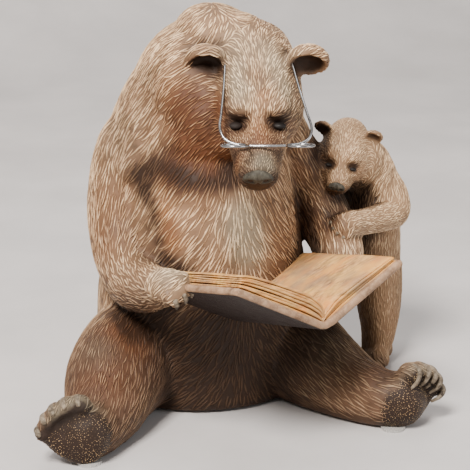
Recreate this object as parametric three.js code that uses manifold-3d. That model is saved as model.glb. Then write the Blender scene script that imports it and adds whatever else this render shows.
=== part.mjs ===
// Figurine of a seated bear that reads an open book through wire spectacles, a cub leaning on its arm.
// Bear, book and cub are one resin casting. The spectacles are bent wire, and clear pads carry the casting.
// Millimetres, +Z up. The bear faces -Y, its own left side is +X, and the floor is Z = 0.
import * as THREE from "three";
import { mergeVertices } from "three/addons/utils/BufferGeometryUtils.js";
import Module from "manifold-3d";

// Driving dimensions
const FIGURE_HEIGHT = 217; // floor to the top of the neck hump
const BOOK_WIDTH = 61; // one board, from the spine to its fore-edge
const BOOK_LENGTH = 78; // along the spine
const BOARD_THICKNESS = 4;
const FEW_PAGES = 4.5; // depth of the half under the bear's left hand
const MANY_PAGES = 9; // depth of the half in its right hand
const PAGE_MARGIN = 2.5; // how far the boards stand out past the pages
const WIRE_DIAMETER = 1.4;
const LENS_DIAMETER = 15;
const PAD_DIAMETER = 13;
const PAD_THICKNESS = 1.5;
const FIT_GAP = 0.3; // between the casting and what rests on it

const wasm = await Module();
wasm.setup();

// The sculpture's own proportions are written for a figure of this height and scaled from it.
const MODEL_HEIGHT = 217;
const SCALE = FIGURE_HEIGHT / MODEL_HEIGHT;
const MODEL_CUT = 1.8; // height at which its underside is cut flat
const vec = (x, y, z) => new THREE.Vector3(x, y, z);
const at = (x, y, z) => vec(x, y, z).multiplyScalar(SCALE);

const finish = (name, color, roughness, metalness) =>
  new THREE.MeshStandardMaterial({ name, color, roughness, metalness });
const resin = finish("resin", 0x5c4233, 0.5, 0.1);
const wire = finish("wire", 0xb9bcc2, 0.25, 1);
const silicone = finish("silicone", 0xe6e2dc, 0.4, 0);

// Solids and meshes

function solid(geometry) {
  const plain = new THREE.BufferGeometry();
  plain.setAttribute("position", geometry.getAttribute("position"));
  if (geometry.index) plain.setIndex(geometry.index);
  const merged = mergeVertices(plain, 1e-4);
  return new wasm.Manifold(
    new wasm.Mesh({
      numProp: 3,
      vertProperties: new Float32Array(merged.attributes.position.array),
      triVerts: new Uint32Array(merged.index.array),
    }),
  );
}

const join = (solids) => solids.reduce((sum, part) => sum.add(part));

function meshOf(made, name, material) {
  const { vertProperties, triVerts } = made.getMesh();
  const geometry = new THREE.BufferGeometry();
  geometry.setAttribute("position", new THREE.BufferAttribute(vertProperties, 3));
  geometry.setIndex(new THREE.BufferAttribute(triVerts, 1));
  geometry.computeVertexNormals();
  const mesh = new THREE.Mesh(geometry, material);
  mesh.name = name;
  return mesh;
}

// Forms

// A closed skin over stations [x, y, z, wide, deep] along a limb. Each section is an ellipse square to it,
// with half-width "wide" across and half-depth "deep" towards "up". Each end is rounded by its "cap" share.
function skin(stations, { up = vec(0, 0, 1), around = 20, along = 12, cap = [0.8, 0.8] } = {}) {
  const centres = new THREE.CatmullRomCurve3(stations.map(([x, y, z]) => vec(x, y, z)));
  const sizes = new THREE.CatmullRomCurve3(stations.map(([, , , wide, deep]) => vec(wide, deep, 0)));
  const capRings = around > 12 ? 3 : around > 5 ? 2 : 1;
  const rings = [];
  const ring = (t, shrink, reach) => {
    const tangent = centres.getTangent(t);
    const side = vec(0, 0, 0).crossVectors(up, tangent).normalize();
    const rise = vec(0, 0, 0).crossVectors(tangent, side);
    const size = sizes.getPoint(t);
    const middle = centres.getPoint(t).addScaledVector(tangent, reach * Math.min(size.x, size.y));
    for (let k = 0; k < around; k += 1) {
      const angle = (2 * Math.PI * k) / around;
      const point = middle.clone();
      point.addScaledVector(side, Math.cos(angle) * size.x * shrink);
      point.addScaledVector(rise, Math.sin(angle) * size.y * shrink);
      rings.push(point);
    }
  };
  for (let k = 1; k < capRings; k += 1) {
    const bend = (Math.PI / 2) * (1 - k / capRings);
    ring(0, Math.cos(bend), -cap[0] * Math.sin(bend));
  }
  for (let k = 0; k <= along; k += 1) ring(k / along, 1, 0);
  for (let k = capRings - 1; k > 0; k -= 1) {
    const bend = (Math.PI / 2) * (1 - k / capRings);
    ring(1, Math.cos(bend), cap[1] * Math.sin(bend));
  }
  const pole = (t, reach) => {
    const size = sizes.getPoint(t);
    return centres.getPoint(t).addScaledVector(centres.getTangent(t), reach * Math.min(size.x, size.y));
  };
  const points = [...rings, pole(0, -cap[0]), pole(1, cap[1])];
  const rows = rings.length / around;
  const faces = [];
  for (let row = 0; row < rows; row += 1)
    for (let k = 0; k < around; k += 1) {
      const next = (k + 1) % around;
      const [a, b] = [row * around + k, row * around + next];
      if (row === 0) faces.push(rings.length, b, a);
      if (row === rows - 1) faces.push(rings.length + 1, a, b);
      else faces.push(a, b, b + around, a, b + around, a + around);
    }
  const geometry = new THREE.BufferGeometry().setFromPoints(points);
  geometry.setIndex(faces);
  return geometry;
}

// An ellipsoid with half-sizes [x, y, z].
function ball(centre, half, { around, along }) {
  const geometry = new THREE.SphereGeometry(1, around, along);
  geometry.scale(...half);
  return geometry.translate(centre.x, centre.y, centre.z);
}

// Moves the surface near a place by a vector, as a thumb moves clay. It fades to nothing at "reach".
function press(geometry, place, reach, by) {
  const position = geometry.getAttribute("position");
  const point = vec(0, 0, 0);
  for (let k = 0; k < position.count; k += 1) {
    point.fromBufferAttribute(position, k);
    const near = 1 - point.distanceToSquared(place) / reach ** 2;
    if (near <= 0) continue;
    point.addScaledVector(by, near * near);
    position.setXYZ(k, point.x, point.y, point.z);
  }
  return geometry;
}

// Axes at an origin: z along "ahead", y as near to "up" as it can be, and x square to both.
function axes(origin, ahead, up) {
  const z = ahead.clone().normalize();
  const x = vec(0, 0, 0).crossVectors(up, z).normalize();
  const y = vec(0, 0, 0).crossVectors(z, x);
  return new THREE.Matrix4().makeBasis(x, y, z).setPosition(origin);
}

const placed = (geometry, frame) => geometry.applyMatrix4(frame);
const scaled = (frame, size) => frame.clone().multiply(new THREE.Matrix4().makeScale(size, size, size));

// The open book, on its own axes: x from the spine to the bear's left, y along the spine to the bear, z up.
const bookFrame = (() => {
  const alongSpine = vec(-0.38, 0.9, -0.2).normalize();
  const across = vec(0, 0, 0).crossVectors(alongSpine, vec(-0.02, 0.02, 1)).normalize();
  const rise = vec(0, 0, 0).crossVectors(across, alongSpine);
  return new THREE.Matrix4().makeBasis(across, alongSpine, rise).setPosition(at(25.5, -120, 68));
})();
const LEFT_BOARD_SLOPE = THREE.MathUtils.degToRad(22);
const RIGHT_BOARD_SLOPE = THREE.MathUtils.degToRad(29);

// A place on a board's outer face: a share of the way from spine to fore-edge, and of the way to the bear.
function onBoard(side, out, back, above = 0) {
  const slope = side > 0 ? LEFT_BOARD_SLOPE : RIGHT_BOARD_SLOPE;
  const place = vec(
    side * (out * BOOK_WIDTH * Math.cos(slope) - above * Math.sin(slope)),
    back * BOOK_LENGTH,
    out * BOOK_WIDTH * Math.sin(slope) + above * Math.cos(slope),
  );
  return place.applyMatrix4(bookFrame);
}

// The book's section across the spine: two boards in one piece, and pages that swell beside the gutter.
function book() {
  const halves = [
    { side: 1, slope: LEFT_BOARD_SLOPE, block: FEW_PAGES },
    { side: -1, slope: RIGHT_BOARD_SLOPE, block: MANY_PAGES },
  ];
  // A point "out" from the spine along a half's board and "above" its outer face.
  const on = ({ side, slope }, out, above) => [
    side * (out * Math.cos(slope) - above * Math.sin(slope)),
    out * Math.sin(slope) + above * Math.cos(slope),
  ];
  const [left, right] = halves;
  const gutter = BOARD_THICKNESS * 1.2;

  const boards = new THREE.Shape();
  const bluntEnd = (half, from, to) => {
    boards.lineTo(...on(half, BOOK_WIDTH - 1, from));
    boards.quadraticCurveTo(...on(half, BOOK_WIDTH + 0.6, BOARD_THICKNESS / 2), ...on(half, BOOK_WIDTH - 1, to));
  };
  boards.moveTo(...on(left, BOARD_THICKNESS, 0));
  bluntEnd(left, 0, BOARD_THICKNESS);
  boards.lineTo(0, gutter);
  bluntEnd(right, BOARD_THICKNESS, 0);
  boards.lineTo(...on(right, BOARD_THICKNESS, 0));
  boards.quadraticCurveTo(0, -BOARD_THICKNESS / 2, ...on(left, BOARD_THICKNESS, 0));

  const edge = BOOK_WIDTH - PAGE_MARGIN;
  const buried = BOARD_THICKNESS / 2;
  const pages = new THREE.Shape();
  pages.moveTo(0, buried).lineTo(...on(left, edge, buried));
  const fore = (half) => on(half, edge - 1, BOARD_THICKNESS + half.block * 0.75);
  const crest = (half) => on(half, edge * 0.16, BOARD_THICKNESS + half.block);
  const swell = (half, share, more) => on(half, edge * share, BOARD_THICKNESS + half.block + more);
  pages.lineTo(...fore(left));
  pages.bezierCurveTo(...swell(left, 0.72, 1), ...swell(left, 0.35, 4), ...crest(left));
  pages.quadraticCurveTo(...swell(left, 0.05, -3), 0, gutter + 1);
  pages.quadraticCurveTo(...swell(right, 0.05, -3), ...crest(right));
  pages.bezierCurveTo(...swell(right, 0.35, 4), ...swell(right, 0.72, 1), ...fore(right));
  pages.lineTo(...on(right, edge, buried));

  const alongSpine = (shape, margin) => {
    const depth = BOOK_LENGTH - 2 * margin;
    const geometry = new THREE.ExtrudeGeometry(shape, {
      depth,
      bevelEnabled: false,
      curveSegments: 4,
    });
    geometry.rotateX(Math.PI / 2).translate(0, BOOK_LENGTH - margin, 0);
    return solid(placed(geometry, bookFrame));
  };
  return [alongSpine(boards, 0), alongSpine(pages, PAGE_MARGIN)];
}

// A head, in axes with its muzzle along z, its crown along y, and the line between its ears through the origin.
// A "muzzle" below one shortens the face in front of the forehead.
function head(frame, { muzzle = 1, around = 20, along = 10, ears }) {
  const face = (z) => (z < 20 ? z : 20 + (z - 20) * muzzle);
  const form = skin(
    [
      [0, -7, face(-20), 20, 22],
      [0, -4, face(-6), 22.5, 25],
      [0, -1.5, face(10), 23.5, 24.5],
      [0, -1, face(24), 23, 21.5],
      [0, -3, face(38), 19.5, 18],
      [0, -4.5, face(50), 14.8, 14],
      [0, -5, face(62), 12.4, 11.5],
      [0, -5, face(72), 10.5, 9.3],
    ],
    { up: vec(0, 1, 0), around, along, cap: [0.7, 0.65] },
  );
  for (const side of [-1, 1]) {
    press(form, vec(side * 11, 15, face(46)), 13, vec(-side, -5, -3)); // eye socket
    press(form, vec(side * 12, 21, face(31)), 13, vec(0, 2.5, 1)); // brow
    press(form, vec(side * 22, -8, face(28)), 20, vec(side * 2, -2, 0)); // cheek
  }
  press(form, vec(0, 22, face(32)), 11, vec(0, -1.5, 0)); // furrow between the brows
  const eye = (side) => ball(vec(side * 10.3, 8.5, face(45)), [3.3, 2.6, 3], { around: 7, along: 4 });
  const nose = ball(vec(0, 0, face(77)), [6.6, 4.2, 3.8], { around: 9, along: 5 });
  const jaw = ball(vec(0, -10.5, face(64)), [7.5, 5.5, 11 * muzzle], { around: 8, along: 5 });
  const pieces = [form, eye(-1), eye(1), nose, jaw];
  return [...pieces.map((piece) => solid(placed(piece, frame))), ...ears.map((one) => ear(frame, one))];
}

// A rounded ear on the head's axes, cupped towards "facing", with its tip towards "lean".
function ear(frame, { place, half, facing, lean }) {
  const own = frame.clone().multiply(axes(place, facing, lean));
  const [wide, tall, thick] = half;
  const outer = ball(vec(0, 0, 0), [wide, tall, thick], { around: 10, along: 5 });
  const hollow = ball(vec(0, -tall * 0.15, thick), [wide * 0.74, tall * 0.72, thick], { around: 8, along: 4 });
  return solid(placed(outer, own)).subtract(solid(placed(hollow, own)));
}

// A hind foot, in axes with x across the sole, y from heel to toes, and z out of the sole.
// Its big toe is on the +x side, or on the -x side where "big" is -1.
function hindFoot(frame, big) {
  const sole = skin(
    [
      [0, -12, -7, 12, 8.5],
      [0, -4, -6.5, 14.5, 8.5],
      [0, 5, -6.5, 15.5, 8],
      [0, 11, -6.5, 15, 7.5],
    ],
    { around: 12, along: 4, cap: [0.95, 0.5] },
  );
  const pieces = [sole];
  const toes = 5;
  for (let k = 0; k < toes; k += 1) {
    const spread = (k / (toes - 1)) * 2 - 1;
    const x = spread * 12 * big;
    const y = 14.5 - 4.5 * spread ** 2;
    const size = 4.1 + 0.4 * spread;
    const toe = [
      [x * 0.8, y - 6, -9, size * 0.9, size],
      [x, y, -5.5, size, size * 1.1],
      [x * 1.05, y + 2, -1, size * 0.7, size * 0.7],
    ];
    pieces.push(skin(toe, { up: vec(0, 1, 0.2), around: 6, along: 2, cap: [0.3, 0.9] }));
    const claw = [
      [x * 1.02, y + 3.5, -6.5, 1.7, 1.8],
      [x * 1.08, y + 6.3, -2.5, 1.4, 1.5],
      [x * 1.1, y + 6, 2.5, 0.7, 0.7],
    ];
    pieces.push(skin(claw, { up: vec(0, 1, 0.4), around: 4, along: 2, cap: [0.5, 1] }));
  }
  return pieces.map((piece) => solid(placed(piece, frame)));
}

// A fore paw that closes over an edge, in axes with z from wrist to digits and y out of its back.
function forePaw(frame, { digits = 4, size = 1, curl = 1 }) {
  const palm = skin(
    [
      [0, 0, -9, 8.5, 7.5],
      [0, 0.5, -2, 9.5, 7.5],
      [0, 0, 4, 9.5, 6.5],
    ],
    { up: vec(0, 1, 0), around: 10, along: 3, cap: [0.5, 0.5] },
  );
  const pieces = [palm];
  for (let k = 0; k < digits; k += 1) {
    const spread = (k / (digits - 1)) * 2 - 1;
    const x = spread * 7.4;
    const tip = 9.5 - 2 * spread ** 2;
    const digit = [
      [x * 0.85, 1, 0, 2.9, 3.8],
      [x, 0.8, tip - 3, 2.9, 3.2],
      [x * 1.05, -4 * curl, tip, 1.9, 2],
      [x * 1.08, -9 * curl, tip - 0.5, 0.6, 0.6],
    ];
    pieces.push(skin(digit, { up: vec(1, 0, 0), around: 5, along: 4, cap: [0.3, 1] }));
  }
  const own = scaled(frame, size);
  return pieces.map((piece) => solid(placed(piece, own)));
}

const limb = (stations, options) =>
  solid(skin(stations.map((station) => station.map((value) => value * SCALE)), options));

// The bear
function torso() {
  return limb(
    [
      [-7, 1, 8, 57, 52],
      [-8, 2, 32, 60, 56],
      [-8, 2, 58, 59, 58],
      [-7, 1, 84, 54, 56],
      [-6, 3, 110, 49, 51],
      [-6, 7, 136, 46, 46],
      [-7, 8, 158, 43, 41],
      [-6, 6, 178, 38, 36],
      [0, 1, 196, 26, 27],
    ],
    { up: vec(0, 1, 0), around: 18, along: 9, cap: [0.5, 0.75] },
  );
}

// The thick neck that falls from the hump to the jaw, and the ruff below it.
function neckAndRuff() {
  const neck = limb(
    [
      [-7, 3, 184, 30, 27],
      [-7, -11, 171, 33, 25],
      [-3, -27, 158, 27, 20],
      [2, -38, 149, 17, 13],
    ],
    { around: 16, along: 5, cap: [0.5, 0.6] },
  );
  const ruff = ball(at(-7, -9, 148), [46, 33, 24].map((half) => half * SCALE), { around: 14, along: 7 });
  return [neck, solid(ruff)];
}

const headFrame = scaled(axes(at(15.5, -22.8, 182), vec(-17.3, -65.5, -41.5), vec(0, 0, 1)), SCALE);

function rightArm() {
  return limb(
    [
      [-32, 8, 156, 12, 15],
      [-46, 7, 138, 16, 20],
      [-52.5, 3, 112, 16.5, 20],
      [-55, -8, 88, 17, 18],
      [-55, -28, 75, 16, 15],
      [-52, -50, 76, 13.5, 13],
      [-49, -68, 81, 10.5, 10.5],
      [-47, -77, 84, 9.5, 9.5],
    ],
    { up: vec(1, 0, 0), around: 12, along: 9 },
  );
}

function leftArm() {
  return limb(
    [
      [26, 6, 150, 12, 15],
      [40, 4, 132, 15.5, 18],
      [51, 0, 112, 16, 17],
      [59, -10, 96, 15, 15],
      [62, -25, 82, 14, 14],
      [59, -42, 71, 12.5, 12],
      [55, -54, 67, 10.5, 9.5],
    ],
    { up: vec(1, 0, 0), around: 12, along: 8 },
  );
}

function rightLeg() {
  return limb(
    [
      [-34, 2, 28, 29, 31],
      [-54, -20, 27, 29, 31],
      [-69, -45, 24, 26, 28],
      [-79, -66, 17, 21, 22],
      [-88, -82, 14, 16, 17],
      [-94, -92, 16, 14, 15],
    ],
    { around: 12, along: 7 },
  );
}

function leftLeg() {
  return limb(
    [
      [22, 0, 26, 29, 31],
      [37, -24, 24, 28, 29],
      [49, -48, 17, 23, 25],
      [60, -68, 13, 18, 20],
      [71, -83, 13, 15, 16],
      [80, -90, 16, 13, 14],
    ],
    { around: 12, along: 7 },
  );
}

const rightFoot = axes(at(-101, -100, 18.5), vec(-0.2, -0.97, 0.02), vec(-0.6, 0.1, 0.78));
const leftFoot = axes(at(86, -95, 17), vec(0.42, -0.9, -0.1), vec(0.6, 0.1, 0.79));

function bear() {
  const earHalf = [10.5, 10, 5.5];
  const ears = [
    { place: vec(-27, 13, 1), half: earHalf, facing: vec(-0.1, -0.25, 1), lean: vec(-0.3, 1, 0) },
    { place: vec(27, 13, 1), half: earHalf, facing: vec(0.1, -0.25, 1), lean: vec(0.3, 1, 0) },
  ];
  const rightGrip = onBoard(-1, 1.04, 0.66, 1);
  const leftGrip = onBoard(1, 0.75, 0.62, -8);
  return [
    torso(),
    ...neckAndRuff(),
    ...head(headFrame, { ears }),
    rightArm(),
    leftArm(),
    rightLeg(),
    leftLeg(),
    ...hindFoot(scaled(rightFoot, SCALE), 1),
    ...hindFoot(scaled(leftFoot, SCALE), -1),
    ...forePaw(scaled(axes(rightGrip, vec(0.6, -0.78, 0), vec(-0.4, -0.1, 0.9)), SCALE), {}),
    ...forePaw(scaled(axes(leftGrip, vec(-0.35, -0.9, 0.2), vec(0, -0.2, -1)), SCALE), {}),
  ];
}

// The cub
function cub() {
  const body = limb(
    [
      [97, 15, 46, 15, 17],
      [96, 14, 62, 17, 19],
      [95, 13, 84, 17, 19],
      [94, 11, 104, 17, 18],
      [90, 7, 120, 14, 16],
      [83, 4, 129, 12, 13],
    ],
    { up: vec(0, 1, 0), around: 11, along: 7 },
  );
  const leg = (x, y, foot) =>
    limb(
      [
        [x, y, 54, 13.5, 16],
        [x + 1, y - 2, 38, 12.5, 13.5],
        [x + 1, y - 4, 21, 10, 11],
        [x - 1, foot, 8, 8, 9],
      ],
      { up: vec(0, 1, 0), around: 8, along: 3 },
    );
  const foot = (x, y) => limb([[x, y, 8, 7, 7], [x - 3, y - 10, 7, 7, 6]], { around: 8, along: 2 });
  const nearArm = limb(
    [
      [97, 5, 114, 9, 10],
      [104, 3, 103, 9, 9.5],
      [104, -3, 94.5, 8.5, 8.5],
      [92, -12, 94, 7.8, 8],
      [79, -18, 95, 7.5, 7.5],
      [69, -22, 95, 7.3, 7],
    ],
    { up: vec(0.3, 1, 0.3), around: 10, along: 7, cap: [0.8, 0.5] },
  );
  const farArm = limb(
    [
      [86, 14, 112, 8, 9],
      [72, 22, 110, 8, 9],
      [56, 24, 108, 7, 8],
    ],
    { around: 8, along: 3 },
  );
  const cubHead = scaled(axes(at(75, 1.5, 133), vec(-15, -29, -16), vec(0.17, 0, 1)), 0.6 * SCALE);
  const earHalf = [9.5, 9, 5];
  const ears = [
    { place: vec(-24, 14, -4), half: earHalf, facing: vec(-0.1, -0.2, 1), lean: vec(-0.5, 1, 0) },
    { place: vec(24, 14, -4), half: earHalf, facing: vec(0.1, -0.2, 1), lean: vec(0.5, 1, 0) },
  ];
  const cheeks = ball(at(78, 1, 125), [20, 15, 17].map((half) => half * SCALE), { around: 12, along: 6 });
  const paw = axes(at(67, -24, 96), vec(-0.85, -0.45, -0.12), vec(0.1, -0.6, 0.8));
  return [
    body,
    solid(cheeks),
    leg(97, 7, 2),
    leg(104, 22, 18),
    foot(96, 0),
    foot(104, 16),
    nearArm,
    farArm,
    ...head(cubHead, { muzzle: 0.62, around: 13, along: 7, ears }),
    ...forePaw(scaled(paw, SCALE), { size: 0.72, curl: 0.8 }),
  ];
}

// The spectacles, on the head's axes: a wire from ear to ear over the muzzle, and two lens rings.
// The table holds places on the face, and the wire runs beside them by its own radius and the gap.
function spectacles() {
  const fine = WIRE_DIAMETER / 2 / SCALE;
  const apart = fine + FIT_GAP / SCALE;
  const lens = (LENS_DIAMETER - WIRE_DIAMETER) / 2 / SCALE;
  const half = [
    [16.6, 16.1, 8],
    [18.3, 13.9, 25],
    [20.8, 11.6, 43],
    [22.3, 9.5, 54],
    [20.1, 7.9, 59.5],
    [14.7, 7, 62.5],
    [7.4, 6.7, 63.5],
  ];
  const bridge = [0, 6.9, 64];
  // The wire sits a little askew, and stands off from the muzzle's own middle line.
  const beside = (side, [x, y, z]) => {
    const off = vec(side * x, y + 3, 0).setLength(apart);
    return vec(side * x + 0.075 * z, y, z).add(off);
  };
  const left = half.map((place) => beside(1, place));
  const right = half.map((place) => beside(-1, place)).reverse();
  const path = new THREE.CatmullRomCurve3([...left, beside(1, bridge), ...right], false, "centripetal");
  const section = new THREE.Shape().absarc(0, 0, fine, 0, 2 * Math.PI, false);
  const drawn = new THREE.ExtrudeGeometry(section, { steps: 28, curveSegments: 3, extrudePath: path });
  const ahead = vec(0, 0.63, 0.77); // in the plane of the lenses, away from the face
  const rings = [-1, 1].map((side) => {
    const ring = new THREE.TorusGeometry(lens, fine, 6, 14);
    const centre = beside(side, [15.6, 6.9, 62.3]).addScaledVector(ahead, lens);
    return ring.applyMatrix4(axes(centre, vec(0, 0.77, -0.63), vec(1, 0, 0)));
  });
  return join([drawn, ...rings].map((piece) => solid(placed(piece, headFrame))));
}

// Clear pads under the heels and the seat, as [name, x, y].
const pads = [
  ["heel_pad_right", -92, -95],
  ["heel_pad_left", 72, -93],
  ["seat_pad_right", -40, 30],
  ["seat_pad_left", 28, 30],
];

function pad(x, y) {
  const disc = new THREE.CylinderGeometry(PAD_DIAMETER / 2, PAD_DIAMETER / 2, PAD_THICKNESS, 16);
  return solid(disc.rotateX(Math.PI / 2).translate(x * SCALE, y * SCALE, PAD_THICKNESS / 2));
}

// The underside is cut flat, and the casting stands on its pads.
const cut = MODEL_CUT * SCALE;
const below = new THREE.BoxGeometry(4 * FIGURE_HEIGHT, 4 * FIGURE_HEIGHT, FIGURE_HEIGHT);
below.translate(0, 0, cut - FIGURE_HEIGHT / 2);
const casting = join([...bear(), ...book(), ...cub()]).subtract(solid(below));
const rise = PAD_THICKNESS + FIT_GAP - cut;

// The origin is on the floor, below the middle of the whole figure.
const part = new THREE.Group();
part.add(meshOf(casting.translate(0, 0, rise), "bear_casting", resin));
part.add(meshOf(spectacles().translate(0, 0, rise), "spectacles", wire));
for (const [name, x, y] of pads) part.add(meshOf(pad(x, y), name, silicone));
const reach = new THREE.Box3().setFromObject(part);
part.position.set(-(reach.min.x + reach.max.x) / 2, -(reach.min.y + reach.max.y) / 2, 0);
export default part;
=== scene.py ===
"""A seated resin bear reads an open book through wire spectacles, and a cub leans on its arm.

The casting's big forms are skins over the CAD model's stations, drawn finely and fused by a voxel remesh.
Thousands of small tapered ridges, the carved strokes of fur, are laid along the forms' flow. Shapes are worked out
in millimetres on the sculpture's own axes, and SHIFT brings them into the row frame.
"""

import bpy
import numpy as np
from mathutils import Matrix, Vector


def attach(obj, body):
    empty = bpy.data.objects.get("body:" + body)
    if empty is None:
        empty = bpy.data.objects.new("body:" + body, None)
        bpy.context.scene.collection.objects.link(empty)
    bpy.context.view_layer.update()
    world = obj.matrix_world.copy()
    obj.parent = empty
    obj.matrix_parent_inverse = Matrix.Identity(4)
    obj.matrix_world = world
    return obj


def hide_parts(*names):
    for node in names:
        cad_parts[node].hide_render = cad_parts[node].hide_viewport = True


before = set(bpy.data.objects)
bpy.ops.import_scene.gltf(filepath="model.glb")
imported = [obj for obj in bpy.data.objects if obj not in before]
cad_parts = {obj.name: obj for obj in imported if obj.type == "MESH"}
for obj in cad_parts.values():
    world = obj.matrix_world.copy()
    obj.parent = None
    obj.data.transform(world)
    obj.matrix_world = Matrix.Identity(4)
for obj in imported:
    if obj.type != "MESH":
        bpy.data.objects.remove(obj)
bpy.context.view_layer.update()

SHIFT = np.array([2.183, 38.159, 0.0])
VOXEL = 1.5  # size of the fused skin's quads
UNDERSIDE = 1.8  # height of the casting's flat underside over the table
UP_X, UP_Y, UP_Z = (1, 0, 0), (0, 1, 0), (0, 0, 1)
CUBES_AROUND = np.array(np.meshgrid(*[(-1, 0, 1)] * 3)).reshape(3, -1).T  # steps to a cube's neighbours, and none
rng = np.random.default_rng(7)


# Vectors and frames


def unit(v):
    """Each vector divided by its own length."""
    v = np.asarray(v, float)
    return v / np.maximum(np.linalg.norm(v, axis=-1, keepdims=True), 1e-9)


def axes(origin, ahead, up, size=1.0):
    """Axes at an origin: z ahead, x square to "up" and z, y square to both, all scaled by size."""
    z = unit(ahead)
    x = unit(np.cross(up, z))
    return np.array([x, np.cross(z, x), z]) * size, np.asarray(origin, float)


def placed(points, own):
    """Points on a piece's own axes, brought onto the sculpture's: the sum of each coordinate times its axis."""
    turn, origin = own
    return points @ turn + origin


def put(parts, own):
    """Meshes on a piece's own axes, each brought onto the sculpture's."""
    return [(placed(points, own), faces) for points, faces in parts]


def localised(points, own):
    """The inverse of placed: the product with each axis, over the axis's squared length."""
    turn, origin = own
    return (points - origin) @ turn.T / (turn[0] @ turn[0])


HEAD = axes((15.5, -22.8, 182), (-17.3, -65.5, -41.5), (0, 0, 1))
CUB_HEAD = axes((75, 1.5, 133), (-15, -29, -16), (0.17, 0, 1), 0.6)
HEADS = ((HEAD, 1.0), (CUB_HEAD, 0.62))  # each with its muzzle's share of the bear's length
RIGHT_FOOT = axes((-101, -100, 18.5), (-0.2, -0.97, 0.02), (-0.6, 0.1, 0.78))
LEFT_FOOT = axes((86, -95, 17), (0.42, -0.9, -0.1), (0.6, 0.1, 0.79))


# Surfaces


def catmull(points, t):
    """A centripetal Catmull-Rom curve through the points, at shares t of the way counted in points."""
    p = np.asarray(points, float)
    p = np.vstack([2 * p[0] - p[1], p, 2 * p[-1] - p[-2]])
    at = np.clip(t, 0, 1) * (len(p) - 3)
    k = np.minimum(at.astype(int), len(p) - 4)
    s = (at - k)[:, None]
    p0, p1, p2, p3 = p[k], p[k + 1], p[k + 2], p[k + 3]
    gap = lambda a, b: np.sum((a - b) ** 2, axis=1, keepdims=True) ** 0.25
    d1 = gap(p1, p2)
    d1 = np.where(d1 < 1e-4, 1, d1)
    d0, d2 = gap(p0, p1), gap(p2, p3)
    d0, d2 = np.where(d0 < 1e-4, d1, d0), np.where(d2 < 1e-4, d1, d2)
    m1 = ((p1 - p0) / d0 - (p2 - p0) / (d0 + d1) + (p2 - p1) / d1) * d1
    m2 = ((p2 - p1) / d1 - (p3 - p1) / (d1 + d2) + (p3 - p2) / d2) * d1
    return p1 + m1 * s + (3 * (p2 - p1) - 2 * m1 - m2) * s**2 + (2 * (p1 - p2) + m1 + m2) * s**3


def ring_faces(rows, around):
    """Quads between closed rings of points, and a fan to a pole at either end. The poles are the last two points."""
    row, k = np.meshgrid(np.arange(rows - 1), np.arange(around), indexing="ij")
    a = (row * around + k).ravel()
    b = (row * around + (k + 1) % around).ravel()
    quads = np.stack([a, b, b + around, a + around], axis=1)
    k = np.arange(around)
    n = rows * around
    low = np.stack([np.full(around, n), (k + 1) % around, k], axis=1)
    high = np.stack([np.full(around, n + 1), n - around + k, n - around + (k + 1) % around], axis=1)
    return [quads, low, high]


def spine_of(stations, up, t):
    """Centre, half-width, half-depth and the three directions of a skin, at shares t of its length."""
    s = np.asarray(stations, float)
    centre = catmull(s[:, :3], t)
    size = catmull(np.column_stack([s[:, 3:5], np.zeros(len(s))]), t)[:, :2]
    run = unit(catmull(s[:, :3], t + 1e-3) - catmull(s[:, :3], t - 1e-3))
    side = unit(np.cross(up, run))
    return centre, size, run, side, np.cross(run, side)


def skin(stations, up=(0, 0, 1), around=56, along=60, cap=(0.8, 0.8)):
    """A closed skin over stations (x, y, z, wide, deep): ellipses square to a smooth spine, with rounded ends."""
    caps = 8
    bend = np.pi / 2 * (1 - np.arange(1, caps) / caps)
    t = np.concatenate([np.zeros(caps - 1), np.linspace(0, 1, along + 1), np.ones(caps - 1)])
    shrink = np.concatenate([np.cos(bend), np.ones(along + 1), np.cos(bend)[::-1]])
    reach = np.concatenate([-cap[0] * np.sin(bend), np.zeros(along + 1), cap[1] * np.sin(bend)[::-1]])
    centre, size, run, side, rise = spine_of(stations, up, t)
    least = size.min(axis=1, keepdims=True)
    middle = centre + run * reach[:, None] * least
    turn = 2 * np.pi * np.arange(around) / around
    rings = (
        middle[:, None]
        + side[:, None] * (size[:, :1] * shrink[:, None] * np.cos(turn))[:, :, None]
        + rise[:, None] * (size[:, 1:] * shrink[:, None] * np.sin(turn))[:, :, None]
    )
    poles = [centre[0] - run[0] * cap[0] * least[0], centre[-1] + run[-1] * cap[1] * least[-1]]
    return np.vstack([rings.reshape(-1, 3), poles]), ring_faces(len(t), around)


def ball(centre, half, around=40, along=24):
    """An ellipsoid: the unit sphere's rings and poles, times the half-sizes."""
    turn = 2 * np.pi * np.arange(around) / around
    lift = np.pi * np.arange(1, along) / along
    across, level = np.sin(lift), -np.cos(lift)
    rings = [np.outer(across, np.cos(turn)), np.outer(across, np.sin(turn)), np.outer(level, np.ones(around))]
    rings = np.stack(rings, axis=2)
    points = np.vstack([rings.reshape(-1, 3), [[0, 0, -1], [0, 0, 1]]])
    return points * np.asarray(half, float) + np.asarray(centre, float), ring_faces(along - 1, around)


def press(points, place, reach, by):
    """Moves points near a place by a vector, times the square of one minus the squared share of the reach."""
    near = np.clip(1 - np.sum((points - np.asarray(place, float)) ** 2, axis=1) / reach**2, 0, None)
    return points + near[:, None] ** 2 * np.asarray(by, float)


# Meshes


def move_points(mesh, points):
    """Sets a mesh's points, shifted from the sculpture's millimetres to the row frame's metres."""
    mesh.vertices.foreach_set("co", ((points + SHIFT) / 1000).astype(np.float32).ravel())


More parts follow.
